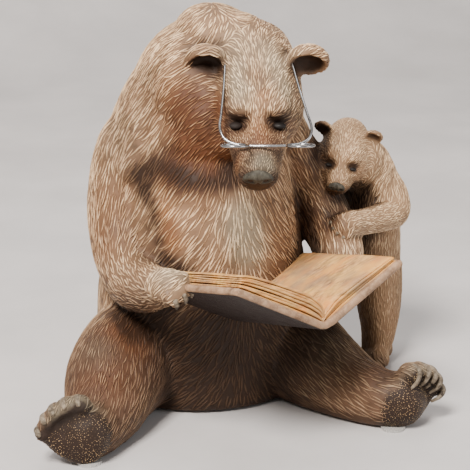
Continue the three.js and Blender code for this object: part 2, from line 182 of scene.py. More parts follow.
def mesh_piece(name, parts):
    """One object of (points, face arrays) parts: each point is shifted, and divided by 1000 for the row frame."""
    points = np.vstack([p for p, _ in parts])
    starts = np.cumsum([0] + [len(p) for p, _ in parts[:-1]])
    loops, totals = [], []
    for (_, faces), start in zip(parts, starts):
        for block in faces:
            loops.append((np.asarray(block) + start).ravel())
            totals.append(np.full(len(block), np.asarray(block).shape[1]))
    loops, totals = np.concatenate(loops), np.concatenate(totals)
    mesh = bpy.data.meshes.new(name)
    mesh.vertices.add(len(points))
    mesh.loops.add(len(loops))
    mesh.polygons.add(len(totals))
    move_points(mesh, points)
    mesh.loops.foreach_set("vertex_index", loops.astype(np.int32))
    mesh.polygons.foreach_set("loop_start", (np.cumsum(totals) - totals).astype(np.int32))
    mesh.polygons.foreach_set("loop_total", totals.astype(np.int32))
    mesh.update(calc_edges=True)
    mesh.shade_smooth()
    piece = bpy.data.objects.new(name, mesh)
    bpy.context.scene.collection.objects.link(piece)
    return piece


def rows_of(items, name, width, kind=np.float32):
    """One property of a mesh's points, edges or faces, a row for each."""
    flat = np.empty(len(items) * width, kind)
    items.foreach_get(name, flat)
    return flat.reshape(-1, width)


def points_of(mesh):
    """A mesh's points in the sculpture's millimetres: the row frame's times 1000, less the shift."""
    return rows_of(mesh.vertices, "co", 3).astype(float) * 1000 - SHIFT


def attribute(mesh, name, values):
    """A value at each point, kept under a name that the materials read."""
    made = mesh.attributes.new(name, "FLOAT", "POINT")
    made.data.foreach_set("value", np.asarray(values, np.float32))


# The forms: the CAD model's, apart from the cub's near arm, which lies nearer the viewer


def limb(up, *stations, cap=(0.8, 0.8)):
    """The arguments of a skin, in its own order."""
    return stations, up, cap


LIMBS = {
    "torso": limb(
        UP_Y, (-7, 1, 8, 57, 52), (-8, 2, 32, 60, 56), (-8, 2, 58, 59, 58), (-7, 1, 84, 54, 56),
        (-6, 3, 110, 49, 51), (-6, 7, 136, 46, 46), (-7, 8, 158, 43, 41), (-5, 6, 178, 36.5, 36),
        (1, 1, 196, 25, 27), cap=(0.5, 0.75),
    ),
    "neck": limb(
        UP_Z, (-7, 3, 184, 30, 27), (-7, -11, 171, 33, 25), (-3, -27, 158, 27, 20), (2, -38, 149, 17, 13),
        cap=(0.5, 0.6),
    ),
    "right_arm": limb(
        UP_X, (-32, 8, 156, 12, 15), (-46, 7, 138, 16, 20), (-52.5, 3, 112, 16.5, 20), (-55, -8, 88, 17, 18),
        (-55, -28, 75, 16, 15), (-52, -50, 76, 13.5, 13), (-49, -68, 81, 10.5, 10.5), (-47, -77, 84, 9.5, 9.5),
    ),
    "left_arm": limb(
        UP_X, (26, 6, 150, 12, 15), (40, 4, 132, 15.5, 18), (51, 0, 112, 16, 17), (59, -10, 96, 15, 15),
        (62, -25, 82, 14, 14), (59, -42, 71, 12.5, 12), (55, -54, 67, 10.5, 9.5),
    ),
    "right_leg": limb(
        UP_Z, (-34, 2, 28, 29, 31), (-54, -20, 27, 29, 31), (-69, -45, 24, 26, 28), (-79, -66, 17, 21, 22),
        (-88, -82, 14, 16, 17), (-94, -92, 16, 14, 15),
    ),
    "left_leg": limb(
        UP_Z, (22, 0, 26, 29, 31), (37, -24, 24, 28, 29), (49, -48, 17, 23, 25), (60, -68, 13, 18, 20),
        (71, -83, 13, 15, 16), (80, -90, 16, 13, 14),
    ),
    "cub_body": limb(
        UP_Y, (97, 15, 46, 15, 17), (96, 14, 62, 17, 19), (95, 13, 84, 17, 19), (94, 11, 104, 17, 18),
        (90, 7, 120, 14, 16), (83, 4, 129, 12, 13),
    ),
    "cub_near_leg": limb(
        UP_Y, (97, 7, 54, 13.5, 16), (98, 5, 38, 12.5, 13.5), (98, 3, 21, 10, 11), (96, 2, 8, 8, 9),
    ),
    "cub_far_leg": limb(
        UP_Y, (104, 22, 54, 13.5, 16), (105, 20, 38, 12.5, 13.5), (105, 18, 21, 10, 11), (103, 18, 8, 8, 9),
    ),
    "cub_near_foot": limb(UP_Z, (96, 0, 8, 7, 7), (93, -10, 7, 7, 6)),
    "cub_far_foot": limb(UP_Z, (104, 16, 8, 7, 7), (101, 6, 7, 7, 6)),
    "cub_near_arm": limb(
        (0.3, 1, 0.3), (97, 5, 114, 9, 10), (104, 3, 103, 9, 9.5), (104, -3, 94.5, 8.5, 8.5),
        (92, -13, 94, 7.8, 8), (79, -22, 95, 7.2, 7.2), (68, -30, 97, 6.6, 6.4), cap=(0.8, 0.5),
    ),
    "cub_far_arm": limb(UP_Z, (86, 14, 112, 8, 9), (72, 22, 110, 8, 9), (56, 24, 108, 7, 8)),
}
RUFF = ((-1, -13, 150), (39, 31, 25))
SWELLS = (  # two shoulders, cheeks and crown
    limb(
        UP_X, (-17, 9, 178, 24, 22), (-28, 9, 162, 26, 23), (-37, 8, 146, 25, 22), (-46, 5, 126, 23, 17.5),
        cap=(0.7, 0.7),
    ),
    limb(UP_X, (18, 8, 172, 24, 20), (28, 8, 156, 24, 18), (38, 5, 138, 20, 16.5), cap=(0.7, 0.7)),
    limb(UP_Z, (-12, -2, 176, 26, 26), (-12, -14, 171, 25, 24), (-8, -27, 165, 20, 19), cap=(0.6, 0.7)),
    limb(UP_Z, (2, 4, 188, 28, 25), (8, -8, 187, 27, 25), (12, -20, 183, 24, 23), cap=(0.6, 0.7)),
)
CUB_CHEEKS = ((78, 1, 125), (20, 15, 17))
MUZZLE_START = 20


def drawn_in(z, muzzle):
    """A place along a head: ahead of the muzzle's start, its distance from there times the muzzle's share."""
    return z if z < MUZZLE_START else MUZZLE_START + (z - MUZZLE_START) * muzzle


def head_form(own, muzzle, ears):
    """Skull and muzzle over stations along z, with sockets, brows and cheeks pressed in or out, then ears and jaw."""
    face = lambda z: drawn_in(z, muzzle)
    stations = [
        [0, -7, -20, 20, 22], [0, -4, -6, 22.5, 25], [0, -1.5, 10, 23.5, 24.5], [0, -1, 24, 23, 21.5],
        [0, -3, 38, 19.5, 18], [0, -4.5, 50, 14.8, 14], [0, -5, 62, 12.4, 11.5], [0, -5, 72, 10.5, 9.3],
    ]
    points, faces = skin([[x, y, face(z), w, d] for x, y, z, w, d in stations], UP_Y, 72, 70, (0.7, 0.65))
    for side in (-1, 1):
        points = press(points, (side * 11.5, 12, face(47)), 13, (-side * 2, -6, -3))
        points = press(points, (side * 10, 19, face(33)), 12, (0, 3.6, 2.5))
        points = press(points, (side * 22, -8, face(28)), 20, (side * 2, -2, 0))
        points = press(points, (side * 13, -4, face(66)), 9, (-side * 1.6, 0, 0))
    points = press(points, (0, 21, face(27)), 13, (0, -4.2, 0))
    points = press(points, (0, 22, 14), 12, (0, -2.5, 0))
    points = press(points, (0, 14, face(44)), 12, (0, -1, 0))
    made = [(points, faces), ball((0, -11, face(62)), (8, 5.5, 12 * muzzle))]
    for side in (-1, 1):
        made.append(ball((side * 9.2, 10.4, face(37)), (7.5, 6.2, 7.5 * muzzle)))
        made.append(ball((side * 6, -7.5, face(60)), (6.5, 6.5, 13 * muzzle)))
    return put(made + [ear_form(side, ears) for side in (-1, 1)], own)


def ear_axes(side, ear):
    """An ear's axes on its head: z out of its bowl, and y up its height, leaning outwards."""
    return axes(np.array(ear["place"]) * (side, 1, 1), (side * 0.1, ear["back"], 1), (side * ear["lean"], 1, 0))


def ear_form(side, ear):
    """An ellipsoid cupped towards the front: its front half sinks by a bowl that is deepest at the middle."""
    half = ear["half"]
    points, faces = ball((0, 0, 0), half, 48, 32)
    across = (points[:, 0] / half[0] / 0.8) ** 2 + ((points[:, 1] + half[1] * 0.12) / half[1] / 0.8) ** 2
    bowl = np.clip(1 - across, 0, None) ** 0.75
    points[:, 2] -= np.where(points[:, 2] > 0, bowl * half[2] * 1.5, 0)
    return placed(points, ear_axes(side, ear)), faces


def hind_foot(own, big):
    """A sole, five toes over stations, and their claws, on axes with y from heel to toes and z out of the sole."""
    sole = [[0, -12, -7, 12, 8.5], [0, -4, -6.5, 14.5, 8.5], [0, 5, -6.5, 15.5, 8], [0, 11, -6.5, 15, 7.5]]
    points, faces = skin(sole, UP_Z, 48, 24, (0.95, 0.5))
    points[:, 2] = np.where(points[:, 2] > -2, -2 + 0.55 * (points[:, 2] + 2), points[:, 2])
    fused = [(press(points, (0, 6, 0), 11, (0, 0, -2.5)), faces)]
    claws = []
    for spread in np.linspace(-1, 1, 5):
        x, y, size = spread * 12 * big, 12.5 - 4.5 * spread**2, 4.5 + 0.4 * spread
        toe = [
            [x * 0.8, y - 7, -9, size * 0.85, size], [x, y, -6, size, size * 1.1],
            [x * 1.05, y + 1, -1, size * 0.72, size * 0.8],
        ]
        claw = [
            [x * 1.04, y + 3.4, -7, 1.9, 1.6], [x * 1.07, y + 4.2, -2.5, 1.8, 1.5],
            [x * 1.06, y + 2.4, 1.4, 1.5 - 0.3 * big, 1.2 - 0.2 * big],
        ]
        if big < 0:
            claw += [[x * 0.98, y - 2, 2.2, 1.3, 1.1], [x * 0.88, y - 6, 0.2, 0.8, 0.8]]
        fused.append(skin(toe, (0, 1, 0.2), 24, 16, (0.3, 0.9)))
        claws.append(skin(claw, (0, 1, 0.4), 14, 14, (0.5, 1)))
    return put(fused, own), put(claws, own)


def fore_paw(own, curl=1.0):
    """A palm and four digits, skins over stations that bend over an edge, each ending in a claw."""
    palm = [[0, 0, -9, 8.5, 7.5], [0, 0.5, -2, 9.5, 7.5], [0, 0, 4, 9.5, 6.5]]
    fused = [skin(palm, UP_Y, 40, 20, (0.5, 0.5))]
    claws = []
    for spread in np.linspace(-1, 1, 4):
        x, tip = spread * 7.4, 9.5 - 2 * spread**2
        digit = [
            [x * 0.85, 1, 0, 2.9, 3.8], [x, 0.8, tip - 3, 2.9, 3.2], [x * 1.05, -3.2 * curl, tip, 2.1, 2.2],
        ]
        claw = [
            [x * 1.05, -1 * curl, tip + 0.8, 1.6, 1.5], [x * 1.07, -3.6 * curl, tip + 1.3, 1.4, 1.3],
            [x * 1.08, -6 * curl, tip + 0.4, 0.7, 0.7],
        ]
        fused.append(skin(digit, UP_X, 20, 16, (0.3, 0.9)))
        claws.append(skin(claw, UP_X, 12, 12, (0.5, 1)))
    return put(fused, own), put(claws, own)


# The open book, on its own axes: x from the spine to the bear's left, y along the spine to the bear, z up

BOOK_WIDTH, BOOK_LENGTH, BOARD, PAGE_MARGIN = 61.0, 78.0, 4.0, 2.5
BLUNTNESS = 1.5  # radius of the boards' ends
SLOPES = {1: np.radians(22), -1: np.radians(29)}
BLOCKS = {1: 4.5, -1: 9.0}
ALONG_SPINE = unit((-0.38, 0.9, -0.2))
ACROSS = unit(np.cross(ALONG_SPINE, (-0.02, 0.02, 1)))
BOOK = (np.array([ACROSS, ALONG_SPINE, np.cross(ACROSS, ALONG_SPINE)]), np.array([25.5, -120, 68.0]))


def on_half(side, out, along, above):
    """Points of a half of the book, from distances out of the spine, along it and above the board."""
    slope = SLOPES[side]
    out, along, above = np.broadcast_arrays(out, along, above)
    flat = np.stack(
        [side * (out * np.cos(slope) - above * np.sin(slope)), along, out * np.sin(slope) + above * np.cos(slope)],
        axis=-1,
    )
    return placed(flat, BOOK)


def slab(low, high):
    """A closed slab between two grids of points of one size, with a wall round their edges."""
    rows, cols = low.shape[:2]
    n = rows * cols
    index = np.arange(n).reshape(rows, cols)
    a, b, c, d = index[:-1, :-1], index[:-1, 1:], index[1:, 1:], index[1:, :-1]
    top = np.stack([a, b, c, d], axis=-1).reshape(-1, 4) + n
    bottom = np.stack([d, c, b, a], axis=-1).reshape(-1, 4)
    rim = np.concatenate([index[0], index[1:, -1], index[-1, -2::-1], index[-2:0:-1, 0]])
    after = np.roll(rim, -1)
    wall = np.stack([rim, after, after + n, rim + n], axis=1)
    return np.vstack([low.reshape(-1, 3), high.reshape(-1, 3)]), [top, bottom, wall]


def page_crest(side, u):
    """Height of the page block over its board, at share u from gutter to fore-edge: a swell that falls outwards."""
    block = BLOCKS[side]
    places = [0, 0.04, 0.09, 0.16, 0.3, 0.5, 0.72, 0.9, 1]
    heights = [0.8, block * 0.45, block * 0.85, block + 0.6, block + 1.9, block + 1.6, block + 0.6]
    heights += [block * 0.93, block * 0.75]
    curve = catmull(np.column_stack([places, heights, np.zeros(9)]), np.linspace(0, 1, 200))
    return np.interp(u, curve[:, 0], curve[:, 1])


def book_pages(side, leaves):
    """A page block as a stack of thin slabs: each follows its share of the crest, and its edges step in or out."""
    made = []
    u, v = np.meshgrid(np.linspace(0, 1, 40), np.linspace(0, 1, 44), indexing="ij")
    for k in range(leaves):
        step = rng.uniform(-0.5, 0.35, 3)
        wave = 0.18 * np.sin(v * rng.uniform(7, 12) + rng.uniform(0, 6))
        wave = wave + 0.12 * np.sin(u * 9 + v * 5 + rng.uniform(0, 6))
        edge = BOOK_WIDTH - PAGE_MARGIN + step[0] - 0.4 * (k % 2)
        out = u * edge
        along = PAGE_MARGIN - step[1] + v * (BOOK_LENGTH - 2 * PAGE_MARGIN + step[1] + step[2])
        share = lambda f: BOARD - 0.6 + (page_crest(side, u) + 0.6) * f
        low = share(k / leaves) + 0.12 + wave * (k > 0)
        top = share((k + 1) / leaves) + wave
        at_edge = (v == 0) | (v == 1) | (u == 1)
        top = np.where(at_edge, top - 0.25, top)
        grids = [on_half(side, out, along, above)[::side] for above in (low, top)]
        made.append(slab(*grids))
    return made


def book_boards():
    """Two boards and the spine: a section across the spine, carried along it, inset by a circle's arc at the ends."""
    def at(side, out, above):
        """Across the spine and up: a place on a half's board, turned by its slope."""
        slope = SLOPES[side]
        return [side * (out * np.cos(slope) - above * np.sin(slope)), out * np.sin(slope) + above * np.cos(slope)]

    def blunt(side, start, end):
        """The fore-edge between two heights: outwards by a half sine, upwards by half of one less a cosine."""
        turn = np.linspace(0, np.pi, 9)
        outs = BOOK_WIDTH - 1.6 + 1.8 * np.sin(turn)
        aboves = start + (end - start) * (1 - np.cos(turn)) / 2
        return [at(side, o, a) for o, a in zip(outs, aboves)]

    spans = np.linspace(6, BOOK_WIDTH - 3, 10)
    left_low = [at(1, out, 0) for out in spans]
    left_high = [at(1, out, BOARD) for out in spans[::-1]]
    right_high = [at(-1, out, BOARD) for out in spans]
    right_low = [at(-1, out, 0) for out in spans[::-1]]
    under = [[x, 1.1 + 0.4 * abs(x) * 0.5] for x in (-3.2, -1.6, 0, 1.6, 3.2)]
    left = left_low + blunt(1, 0, BOARD) + left_high
    right = right_high + blunt(-1, BOARD, 0) + right_low
    section = np.array(left + [[0, BOARD * 1.2]] + right + under)
    n = len(section)
    run = np.roll(section, -1, axis=0) - np.roll(section, 1, axis=0)
    inward = unit(np.stack([-run[:, 1], run[:, 0]], axis=1))
    rounding = np.array([0, 0.25, 0.8, 1.6])
    v = np.concatenate([rounding, np.linspace(4, BOOK_LENGTH - 4, 24), BOOK_LENGTH - rounding[::-1]])
    end = np.minimum(v, BOOK_LENGTH - v)
    inset = BLUNTNESS - np.sqrt(np.clip(BLUNTNESS**2 - np.clip(BLUNTNESS - end, 0, None) ** 2, 0, None))
    rings = section[None] + inward[None] * inset[:, None, None]
    points = np.stack([rings[..., 0], np.broadcast_to(v[:, None], rings.shape[:2]), rings[..., 1]], axis=-1)
    points = placed(points.reshape(-1, 3), BOOK)
    quads, _, _ = ring_faces(len(v), n)
    low = np.arange(n)[None]
    high = (np.arange(n) + (len(v) - 1) * n)[None]
    return points, [quads, low[:, ::-1], high]


# The fused skin

EARS = {"place": (27, 15.5, 7.5), "half": (11.5, 9.5, 7), "back": 0.0, "lean": 0.3}
CUB_EARS = {"place": (24, 14, -4), "half": (9.5, 9, 5), "back": -0.2, "lean": 0.5}


def grip(side, out, back, above, ahead, up, size=1.0):
    """Axes of a paw at a place on a board."""
    return axes(on_half(side, out * BOOK_WIDTH, back * BOOK_LENGTH, above), ahead, up, size)


RIGHT_PAW = grip(-1, 1.04, 0.66, 1, (0.6, -0.78, 0), (-0.4, -0.1, 0.9))
LEFT_PAW = grip(1, 0.75, 0.62, -8, (-0.35, -0.9, 0.2), (0, -0.2, -1))
CUB_PAW = axes((64.5, -32, 97), (-0.85, -0.3, -0.25), (0.1, -0.6, 0.8), 0.72)

soft, claws = [], []
for stations, up, cap in (*LIMBS.values(), *SWELLS):
    soft.append(skin(stations, up, cap=cap))
soft += [ball(*RUFF, 64, 40), ball(*CUB_CHEEKS)]
soft += head_form(HEAD, 1.0, EARS) + head_form(CUB_HEAD, 0.62, CUB_EARS)
feet = hind_foot(RIGHT_FOOT, 1), hind_foot(LEFT_FOOT, -1)
for fused, sharp in (*feet, fore_paw(RIGHT_PAW), fore_paw(LEFT_PAW), fore_paw(CUB_PAW, 0.8)):
    soft += fused
    claws += sharp


def fuse(name, parts):
    """The parts as one closed skin of even quads, softened, with no point lower than the underside."""
    piece = mesh_piece(name, parts)
    modifier = piece.modifiers.new("fuse", "REMESH")
    modifier.mode = "VOXEL"
    modifier.voxel_size = VOXEL / 1000
    smooth = piece.modifiers.new("soften", "SMOOTH")
    smooth.factor = 0.5
    smooth.iterations = 4
    deps = bpy.context.evaluated_depsgraph_get()
    mesh = bpy.data.meshes.new_from_object(piece.evaluated_get(deps))
    piece.modifiers.clear()
    piece.data = mesh
    points = points_of(mesh)
    points[:, 2] = np.maximum(points[:, 2], UNDERSIDE)
    move_points(mesh, points)
    mesh.update()
    mesh.shade_smooth()
    return piece


body = fuse("casting_skin", soft)


# The flow of the fur: each form gives its own direction, and the nearest forms are blended


def head_stations(own, muzzle):
    """A head's stations as one limb: places brought onto the sculpture's axes, half-sizes times the axes' length."""
    rows = [[0, -7, -20, 20, 22], [0, -3, 10, 23.5, 24.5], [0, -3, 38, 19.5, 18], [0, -5, 72, 10.5, 9.3]]
    grow = np.linalg.norm(own[0][0])
    return [[*placed(np.array([x, y, drawn_in(z, muzzle)]), own), w * grow, d * grow] for x, y, z, w, d in rows]


def fan(points, axis_x, spread, fall):
    """Down, and out to both sides of an upright line at axis_x, more so the further from it."""
    out = np.clip((points[:, 0] - axis_x) / spread, -0.95, 0.95)
    return np.stack([out, np.zeros(len(points)), np.full(len(points), -fall)], axis=1)


def torso_flow(points, run):
    """The fan from the breastbone, wider by up to a half towards the seat."""
    low = np.clip((115 - points[:, 2]) / 40, 0, 1)
    flow = fan(points, -1, 34, 1)
    flow[:, 0] *= 1 + 0.5 * low
    return flow


def ruff_flow(points, run):
    """The unit direction away from the chin, flattened, with three quarters of a unit straight down added."""
    away = unit(points - np.array([5, -46, 158.0]))
    return away * (1.0, 0.5, 0.6) + (0, 0, -0.75)


def head_flow(own):
    """From the nose towards the crown, turning outwards over the brow and down over the cheek."""
    def flow(points, run):
        """On the head's axes: out by the share of its half-width, up or down by height, and back by one."""
        local = localised(points, own)
        out = np.clip(local[:, 0] / 22, -1, 1)
        high = np.clip((local[:, 1] + 2) / 14, -1, 1)
        behind = np.clip((30 - local[:, 2]) / 30, 0, 1)
        x = out * (0.75 + 0.35 * behind)
        y = np.where(high > 0, 0.25 * high * (1 - behind), 0.75 * high * np.abs(out)) - 0.1
        return np.stack([x, y, np.full(len(points), -1.0)], axis=1) @ unit(own[0])

    return flow


def along_limb(fall, turn=0.0):
    """Down the limb, with a share straight down and a share sideways added to its unit direction."""
    return lambda points, run: run + np.array([turn, 0, -fall])


SPINES = {**LIMBS, **{name: (head_stations(*head), UP_Z) for name, head in zip(("skull", "cub_skull"), HEADS)}}
BLEND_REACH = 0.07  # over which the flows of two forms blend, as a share of a form's half-size
# form: (flow, spacing of strokes, length, height, fur piece)
FUR = {
    "torso": (torso_flow, 1.6, 12.5, 0.48, "torso"),
    "neck": (ruff_flow, 1.5, 12, 0.5, "torso"),
    "skull": (head_flow(HEAD), 1.2, 6.8, 0.36, "head"),
    "right_arm": (along_limb(0.3, -0.15), 1.4, 9.5, 0.42, "arms"),
    "left_arm": (along_limb(0.3, 0.1), 1.4, 9.5, 0.42, "arms"),
    "right_leg": (along_limb(0.6), 1.5, 12, 0.4, "legs"),
    "left_leg": (along_limb(0.5, 0.1), 1.5, 12, 0.4, "legs"),
    "cub_body": (along_limb(1.6), 1.25, 6.5, 0.3, "cub"),
    "cub_near_leg": (along_limb(0.5), 1.25, 6, 0.3, "cub"),
    "cub_far_leg": (along_limb(0.5), 1.25, 6, 0.3, "cub"),
    "cub_near_arm": (along_limb(0.1), 1.1, 5, 0.28, "cub"),
    "cub_far_arm": (along_limb(0.1), 1.2, 5, 0.28, "cub"),
    "cub_skull": (head_flow(CUB_HEAD), 0.95, 3.6, 0.22, "cub"),
}


def form_field(points):
    """How near each form's surface passes by each point, its flow there, and which form is nearest.

    The nearness is the length of the offset from the nearest spine sample, measured in the form's own half-sizes.
    """
    reach, flows = [], []
    for name, (flow, *_) in FUR.items():
        centre, size, run, side, rise = spine_of(*SPINES[name][:2], np.linspace(0, 1, 48))
        gap = np.sum(points**2, axis=1)[:, None] - 2 * points @ centre.T + np.sum(centre**2, axis=1)
        k = gap.argmin(axis=1)
        off = points - centre[k]
        least = size.min(axis=1)[k]
        shares = [
            np.sum(off * side[k], axis=1) / size[k, 0],
            np.sum(off * rise[k], axis=1) / size[k, 1],
            np.sum(off * run[k], axis=1) / least / 0.8,
        ]
        reach.append(np.sqrt(np.sum(np.square(shares), axis=0)))
        flows.append(unit(flow(points, run[k])))
    reach, flows = np.array(reach), np.array(flows)
    in_ruff = np.linalg.norm((points - RUFF[0]) / RUFF[1], axis=1)
    neck = list(FUR).index("neck")
    reach[neck] = np.minimum(reach[neck], in_ruff)
    weight = np.exp(-(reach - reach.min(axis=0)) / BLEND_REACH)
    blended = np.sum(flows * weight[:, :, None], axis=0)
    return unit(blended), reach.argmin(axis=0), weight / weight.sum(axis=0)


def lookup(points, cell):
    """A function that finds the nearest of the points to each asked place, among those in its cube and the next."""
    low = points.min(axis=0) - 4 * cell
    span = np.ceil((points.max(axis=0) - low) / cell).astype(np.int64) + 8
    number = lambda c: (c[:, 0] * span[1] + c[:, 1]) * span[2] + c[:, 2]
    keys = number(np.floor((points - low) / cell).astype(np.int64))
    order = np.argsort(keys, kind="stable")
    keys = keys[order]

    def nearest(asked):
        """Each step keeps the nearer of what was found and the cube's next point."""
        cube = np.floor((asked - low) / cell).astype(np.int64)
        best, found = np.full(len(asked), np.inf), np.zeros(len(asked), np.int64)
        for step in CUBES_AROUND:
            key = number(cube + step)
            start, stop = np.searchsorted(keys, key), np.searchsorted(keys, key, "right")
            for more in range(int((stop - start).max())):
                at = np.minimum(start + more, len(order) - 1)
                mine = order[at]
                gap = np.sum((points[mine] - asked) ** 2, axis=1)
                better = (start + more < stop) & (gap < best)
                best, found = np.where(better, gap, best), np.where(better, mine, found)
        return found

    return nearest


def near_pairs(points, reach):
    """All ordered pairs of different points closer than the reach, found cube by cube."""
    low = points.min(axis=0) - reach
    cube = np.floor((points - low) / reach).astype(np.int64) + 1
    span = cube.max(axis=0) + 2
    key = (cube[:, 0] * span[1] + cube[:, 1]) * span[2] + cube[:, 2]
    order = np.argsort(key, kind="stable")
    keys = key[order]
    found = []
    for dx, dy, dz in CUBES_AROUND:
        other = key + (dx * span[1] + dy) * span[2] + dz
        start = np.searchsorted(keys, other)
        count = np.searchsorted(keys, other, "right") - start
        i = np.repeat(np.arange(len(points)), count)
        within = np.arange(count.sum()) - np.repeat(np.cumsum(count) - count, count)
        j = order[np.repeat(start, count) + within]
        close = (i != j) & (np.sum((points[i] - points[j]) ** 2, axis=1) < reach**2)
        found.append(np.stack([i[close], j[close]]))
    return np.hstack(found)


HALF_LENGTH, HALF_WIDTH = 0.5, 0.74  # of a stroke's own ellipse, as shares of its length and spacing


def spread_out(points, flow, normal, spacing, length):
    """Picks points so that no two share an ellipse, long along the flow and as wide as the spacing of strokes."""
    i, j = near_pairs(points, HALF_LENGTH * length.max())
    gap = points[j] - points[i]
    along = np.abs(np.sum(gap * flow[i], axis=1))
    across = np.abs(np.sum(gap * np.cross(normal[i], flow[i]), axis=1))
    clash = (along / (HALF_LENGTH * length[i])) ** 2 + (across / (HALF_WIDTH * spacing[i])) ** 2 < 1
    i, j = i[clash], j[clash]
    order = np.argsort(i, kind="stable")
    i, j = i[order], j[order]
    starts = np.searchsorted(i, np.arange(len(points) + 1))
    free = np.ones(len(points), bool)
    for k in rng.permutation(len(points)):
        if free[k]:
            free[j[starts[k] : starts[k + 1]]] = False
    return free


# The skin's own values

BARE_BELOW = 4  # height under which no fur is laid
skin_points = points_of(body.data)
normals = rows_of(body.data.vertices, "normal", 3).astype(float)
edges = rows_of(body.data.edges, "vertices", 2, np.int32)


def relax(values, rounds):
    """Averages each point's values with its neighbours', over and over. A plain row of values stays one."""
    if values.ndim == 1:
        return relax(values[:, None].astype(float), rounds)[:, 0]
    count = np.bincount(edges.ravel(), minlength=len(values))[:, None] + 1.0
    for _ in range(rounds):
        total = values.copy()
        for c in range(values.shape[1]):
            total[:, c] += np.bincount(edges[:, 0], values[edges[:, 1], c], len(values))
            total[:, c] += np.bincount(edges[:, 1], values[edges[:, 0], c], len(values))
        values = total / count
    return values


def in_skin(vectors, up):
    """Vectors less their part along the skin's normals."""
    return vectors - up * np.sum(vectors * up, axis=1, keepdims=True)


flow, owner, share = form_field(skin_points)
flow = unit(in_skin(relax(unit(in_skin(flow, normals)), 5), normals))

table = np.array([row[1:4] for row in FUR.values()])
spacing, length, height = relax(share.T @ table, 3).T
group_names = sorted({row[4] for row in FUR.values()})
group = np.array([group_names.index(row[4]) for row in FUR.values()])[owner]


def near(points, own, place, reach):
    """A mask that is true within a reach of a place on a piece's own axes."""
    return np.linalg.norm(localised(points, own) - np.asarray(place, float), axis=1) < reach


def ear_bowl(own, side, ear):
    """Where the inside of an ear is: in front of its middle and within its rim."""
    local = localised(localised(skin_points, own), ear_axes(side, ear))
    half = np.array(ear["half"])
    across = (local[:, 0] / half[0] / 0.86) ** 2 + ((local[:, 1] + half[1] * 0.12) / half[1] / 0.86) ** 2
    return (across < 0.9) & (local[:, 2] > -half[2] * 0.75) & (local[:, 2] < half[2] * 0.6)


def sole_of(own):
    """The part of a foot that faces out of its sole, without the toes."""
    local = localised(skin_points, own)
    facing = normals @ unit(own[0])[2] > 0.35
    return facing & (np.abs(local[:, 0]) < 19) & (local[:, 1] > -27) & (local[:, 1] < 12) & (local[:, 2] > -8)


def toes_of(own):
    """The part of a foot from the toes' roots to their tips."""
    local = localised(skin_points, own)
    return (np.abs(local[:, 0]) < 21) & (local[:, 1] > 9.5) & (local[:, 1] < 26) & (np.abs(local[:, 2]) < 16)


def any_near(places, reach):
    """A mask of the skin within a reach of any of the places, each (axes, place)."""
    return np.any([near(skin_points, own, place, reach) for own, place in places], axis=0)


soles = sole_of(RIGHT_FOOT) | sole_of(LEFT_FOOT)
toes = (toes_of(RIGHT_FOOT) | toes_of(LEFT_FOOT)) & ~soles
noses = any_near([(HEAD, (0, -4, 78)), (CUB_HEAD, (0, -4, 56.3))], 6.5)
eyes = any_near([(own, (side * 11.2, 6, drawn_in(45, part))) for own, part in HEADS for side in (-1, 1)], 4)
bowls = [ear_bowl(own, side, ear) for own, ear in ((HEAD, EARS), (CUB_HEAD, CUB_EARS)) for side in (-1, 1)]
bowls = np.any(bowls, axis=0)
bare = soles | noses | bowls | eyes | (skin_points[:, 2] < BARE_BELOW)
muzzle = np.clip((localised(skin_points, HEAD)[:, 2] - 34) / 22, 0, 1) * (owner == list(FUR).index("skull"))
length = length * (1 - 0.5 * muzzle)
spacing = spacing * (1 - 0.2 * muzzle)
height = height * (1 - 0.35 * muzzle)
length = length * (1 - 0.35 * np.clip((skin_points[:, 2] - 145) / 30, 0, 1) * (skin_points[:, 1] > -22))
ends = any_near([(RIGHT_PAW, (0, 0, 0)), (LEFT_PAW, (0, 0, 0))], 17) | toes
length = np.where(ends, length * 0.5, length)
spacing = np.where(ends, spacing * 0.8, spacing)
